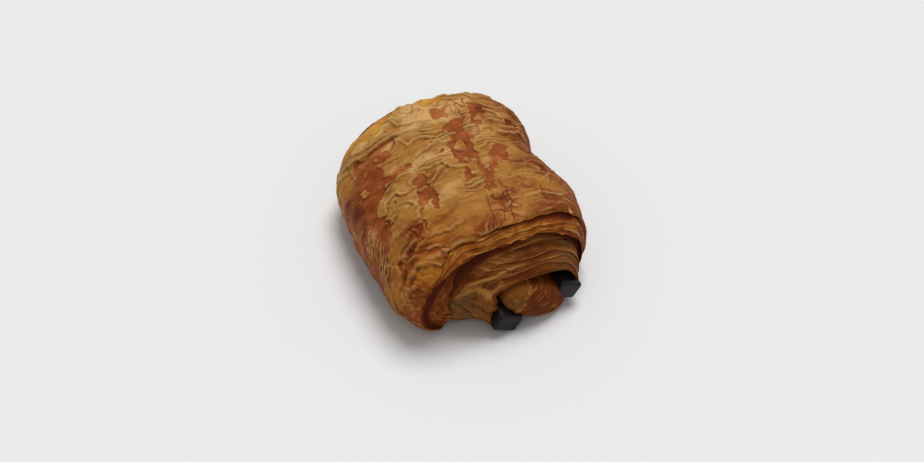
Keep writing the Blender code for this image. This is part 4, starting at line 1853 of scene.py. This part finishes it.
@dataclass(kw_only=True)
class ChocolateStick(Piece):
    """A stick of dark chocolate, softened by the oven."""

    centre: tuple[float, float]
    ends: tuple[float, float]
    sag: float
    width: float
    height: float
    slot: Slot = Slot.CHOCOLATE
    rounding: float = 1.3
    rounding_steps: int = 5
    cuts: int = 150
    sag_start: float = 28.0
    sag_full: float = 54.0
    lowest: float = 0.05
    dice: Chance = Chance(77)

    def build(self, finish: bpy.types.Material) -> None:
        """Model the stick and dress it.

        Args:
            finish: Its material.
        """
        bpy.ops.mesh.primitive_cube_add(size=1)
        self.take()
        length = self.ends[1] - self.ends[0]
        with editing():
            bpy.ops.mesh.select_mode(type="EDGE")
            bpy.ops.transform.resize(value=(self.width * MM, length * MM, self.height * MM))
            bpy.ops.mesh.bevel(offset=self.rounding * MM, segments=self.rounding_steps, affect="EDGES")
        for long_edge in self.obj.data.edges:
            a, b = (self.obj.data.vertices[i].co.y for i in long_edge.vertices)
            long_edge.select = abs(a - b) > 0.5 * length * MM
        with editing(whole=False):
            bpy.ops.mesh.subdivide(number_cuts=self.cuts)
            bpy.ops.mesh.select_all(action="SELECT")
            bpy.ops.mesh.subdivide(number_cuts=1)
        a, along, b = (self.take() / MM).T
        along = along + (self.ends[0] + self.ends[1]) / 2
        dent = 1 + 0.02 * self.dice.rough(along / 6, np.arctan2(b, a) * 1.5)
        x, z = tilted(self.centre, a * dent, b * dent)
        soft = np.maximum((np.abs(along) - self.sag_start) / (self.sag_full - self.sag_start), 0)
        y = along + 0.15 * self.dice.rough(a / 3, b / 3)
        self.mould(x, y, np.maximum(z - self.sag * soft**2, self.lowest))
        self.dress(finish)


@dataclass(frozen=True)
class Flake:
    """A loose bit of the crust: where it lies, how big it is and how far its edges lift."""

    girth: float
    y: float
    long: float
    wide: float
    turn: float = 0.0
    lift: float = 0.8
    toast: float = 0.3
    gap: float = 0.15


@dataclass(kw_only=True)
class LooseFlakes(Piece):
    """Bits of crust that have come loose and curl up, and the fibres where one has torn off."""

    crust: Crust
    name: str = "loose_flakes"
    thickness: float = 0.28
    thin_under: float = 0.5
    # Fibres get the crust's painted highlight colour at more than full strength, so that they come out paler.
    fibre_crest: float = 1.8
    dice: Chance = Chance(91)
    flakes: tuple[Flake, ...] = (
        Flake(-13.5, -7.2, 1.4, 0.8, 40, 0.5, 0.0), Flake(-7.4, 2.0, 0.9, 0.6, 60, 0.5, 0.0),
        Flake(-8.2, 0.2, 0.8, 0.6, 20, 0.5, 0.0), Flake(45.5, 5.5, 0.9, 0.6, 20, 0.5, 0.0),
        Flake(46, -3.5, 1.0, 0.6, 70, 0.5, 0.0), Flake(-31.5, -36, 2.4, 1.4, 40, 0.6, -0.1),
    )
    fibres: int = 56

    def fibre(self, k: int) -> Flake:
        """Place a fibre of the tear on the left flank.

        Args:
            k: Its number.

        Returns:
            Where it lies and how big it is.
        """
        one, two, three, four = (float(self.dice.draw(np.int64(k), np.int64(n))) for n in range(4))
        return Flake(45.5 + 8 * one, -27 + 21 * two, 3 + 4 * three, 0.17 + 0.07 * four,
                     -35 + 50 * (four - 0.5), 0.3 + 0.4 * one, -0.4, 0.1)

    def shape(self, flake: Flake, k: int) -> bpy.types.Object:
        """Model one flake or fibre.

        Args:
            flake: Where it lies and how big it is.
            k: Its number, which its ragged edge depends on.

        Returns:
            Its object.
        """
        thin, dice = flake.wide < self.thin_under, self.dice
        bpy.ops.mesh.primitive_grid_add(x_subdivisions=10, y_subdivisions=2 if thin else 8, size=2)
        u, v = self.take().T[:2]
        reach = np.maximum(np.abs(u), np.abs(v)) / (np.hypot(u, v) + 1e-9)
        round_u, round_v = (u, v * (1 - 0.8 * np.abs(u))) if thin else (u * reach, v * reach)
        rag = 1.0 if thin else 1 + 0.3 * dice.rough(np.arctan2(v, u) * 1.3 + 7 * k, 3.3 * k)
        a, b = round_u * rag * flake.long / 2, round_v * rag * flake.wide / 2
        turn = math.radians(flake.turn)
        girth = flake.girth + a * math.cos(turn) - b * math.sin(turn)
        y = flake.y + a * math.sin(turn) + b * math.cos(turn)
        far = np.hypot(round_u, round_v)
        up = flake.gap + flake.lift * (0.5 + 0.5 * np.sin(2.2 * round_u + k)) * far**2
        up += 0.075 * flake.wide * dice.swell(u * 1.5 + k, v * 1.5)
        below = self.crust.surface(np.array([flake.girth]), np.array([flake.y]))
        x, z = FORM.outline(FORM.angle_at(girth), y, below - np.maximum(up, -0.2))
        self.mould(x, y, z)
        self.note(toast=flake.toast + 0.2 * far, cover=1.0, gold=-9.0, nook=0.0,
                  crest=self.fibre_crest if thin else 0.0, amber=0.0)
        self.finish_with("SOLIDIFY", thickness=(0.5 * flake.wide if thin else self.thickness) * MM)
        return self.obj

    def build(self, finish: bpy.types.Material) -> None:
        """Model the flakes, join them and dress them.

        Args:
            finish: Their material.
        """
        made = [self.shape(flake, k) for k, flake in enumerate(self.flakes)]
        made += [self.shape(self.fibre(k), 100 + k) for k in range(self.fibres)]
        bpy.ops.object.select_all(action="DESELECT")
        for flake in made:
            flake.select_set(True)
        bpy.context.view_layer.objects.active = made[0]
        bpy.ops.object.join()
        self.take()
        self.dress(finish)


@dataclass
class Studio:
    """The plain floor, the soft light and the camera at the photograph's angle."""

    aim: tuple[float, float, float] = (-3.0, -7.0, 20.0)
    azimuth: float = -25.0
    elevation: float = 47.0
    distance: float = 450.0
    focal_pixels: float = 1102.5
    image_width: float = 924.0
    image_height: float = 462.0
    aim_pixel: tuple[float, float] = (461.0, 218.0)
    sensor: float = 36.0
    clip: tuple[float, float] = (0.01, 10)
    floor_size: float = 3.0
    sun_strength: float = 2.12
    sun_angle: float = 30.0
    sun_azimuth: float = 42.0
    sun_height: float = 67.0
    sky: float = 0.38

    def build(self) -> None:
        """Set up the floor, the light and the camera."""
        self.floor()
        self.light()
        self.camera()
        bpy.context.scene.view_settings.view_transform = "Standard"

    def floor(self) -> None:
        """Lay the floor."""
        bpy.ops.mesh.primitive_plane_add(size=self.floor_size)
        floor = bpy.context.active_object
        floor.name = "floor"
        floor.data.materials.append(FloorFinish().material)

    def light(self) -> None:
        """Hang a soft sun from the far right, in an even sky."""
        sun = bpy.data.lights.new("sun", "SUN")
        sun.energy, sun.angle = self.sun_strength, math.radians(self.sun_angle)
        lamp = bpy.data.objects.new("sun", sun)
        around, up = math.radians(self.sun_azimuth), math.radians(self.sun_height)
        toward = Vector((math.cos(around) * math.cos(up), math.sin(around) * math.cos(up), math.sin(up)))
        lamp.rotation_euler = toward.to_track_quat("Z", "Y").to_euler()
        bpy.context.scene.collection.objects.link(lamp)
        world = bpy.data.worlds.new("sky")
        world.use_nodes = True
        background = world.node_tree.nodes["Background"].inputs
        background["Color"].default_value = (1, 1, 1, 1)
        background["Strength"].default_value = self.sky
        bpy.context.scene.world = world

    def camera(self) -> None:
        """Place the camera where the photograph was taken from."""
        data = bpy.data.cameras.new("camera")
        data.sensor_width = self.sensor
        data.lens = self.focal_pixels * self.sensor / self.image_width
        data.shift_x = (self.image_width / 2 - self.aim_pixel[0]) / self.image_width
        data.shift_y = (self.aim_pixel[1] - self.image_height / 2) / self.image_width
        data.clip_start, data.clip_end = self.clip
        camera = bpy.data.objects.new("camera", data)
        around, up = math.radians(self.azimuth), math.radians(self.elevation)
        back = Vector((math.sin(around) * math.cos(up), -math.cos(around) * math.cos(up), math.sin(up)))
        camera.location = (Vector(self.aim) + back * self.distance) * MM
        camera.rotation_euler = back.to_track_quat("Z", "Y").to_euler()
        bpy.context.scene.collection.objects.link(camera)
        bpy.context.scene.camera = camera


def main() -> None:
    """Build the pastry, its sticks and the studio."""
    logging.basicConfig(level=logging.INFO, format="%(message)s")
    kitchen = Kitchen()
    crust_finish = CrustFinish(kitchen).material
    leaf_finish = LeafFinish(kitchen).material
    soft_finish = SoftDoughFinish(kitchen).material
    chocolate = ChocolateFinish(kitchen).material
    crust = Crust()
    crust.build(crust_finish)
    WrapEnd(name="near_leaves", crust=crust, end=End.NEAR).build(leaf_finish)
    WrapEnd(name="far_leaves", crust=crust, end=End.FAR, recess=1.5, rim=Spline(
        (-112, -90, -60, 0, 60, 90, 112), (36, 44, 46, 46.5, 46, 44, 36))).build(leaf_finish)
    InnerWrap().build(soft_finish)
    Lobe().build(soft_finish)
    Core().build(leaf_finish)
    LooseFlakes(crust=crust).build(crust_finish)
    ChocolateStick(name="low_stick", node="chocolate_stick_low", centre=(-4.2, 8.0), width=11.4, height=8.0,
                   ends=(-54.0, 54.0), sag=3.0).build(chocolate)
    ChocolateStick(name="high_stick", node="chocolate_stick_high", centre=(23.4, 9.2), width=10.8, height=8.2,
                   ends=(-51.5, 53.0), sag=0.8, dice=Chance(78)).build(chocolate)
    Studio().build()


if __name__ == "__main__":
    main()
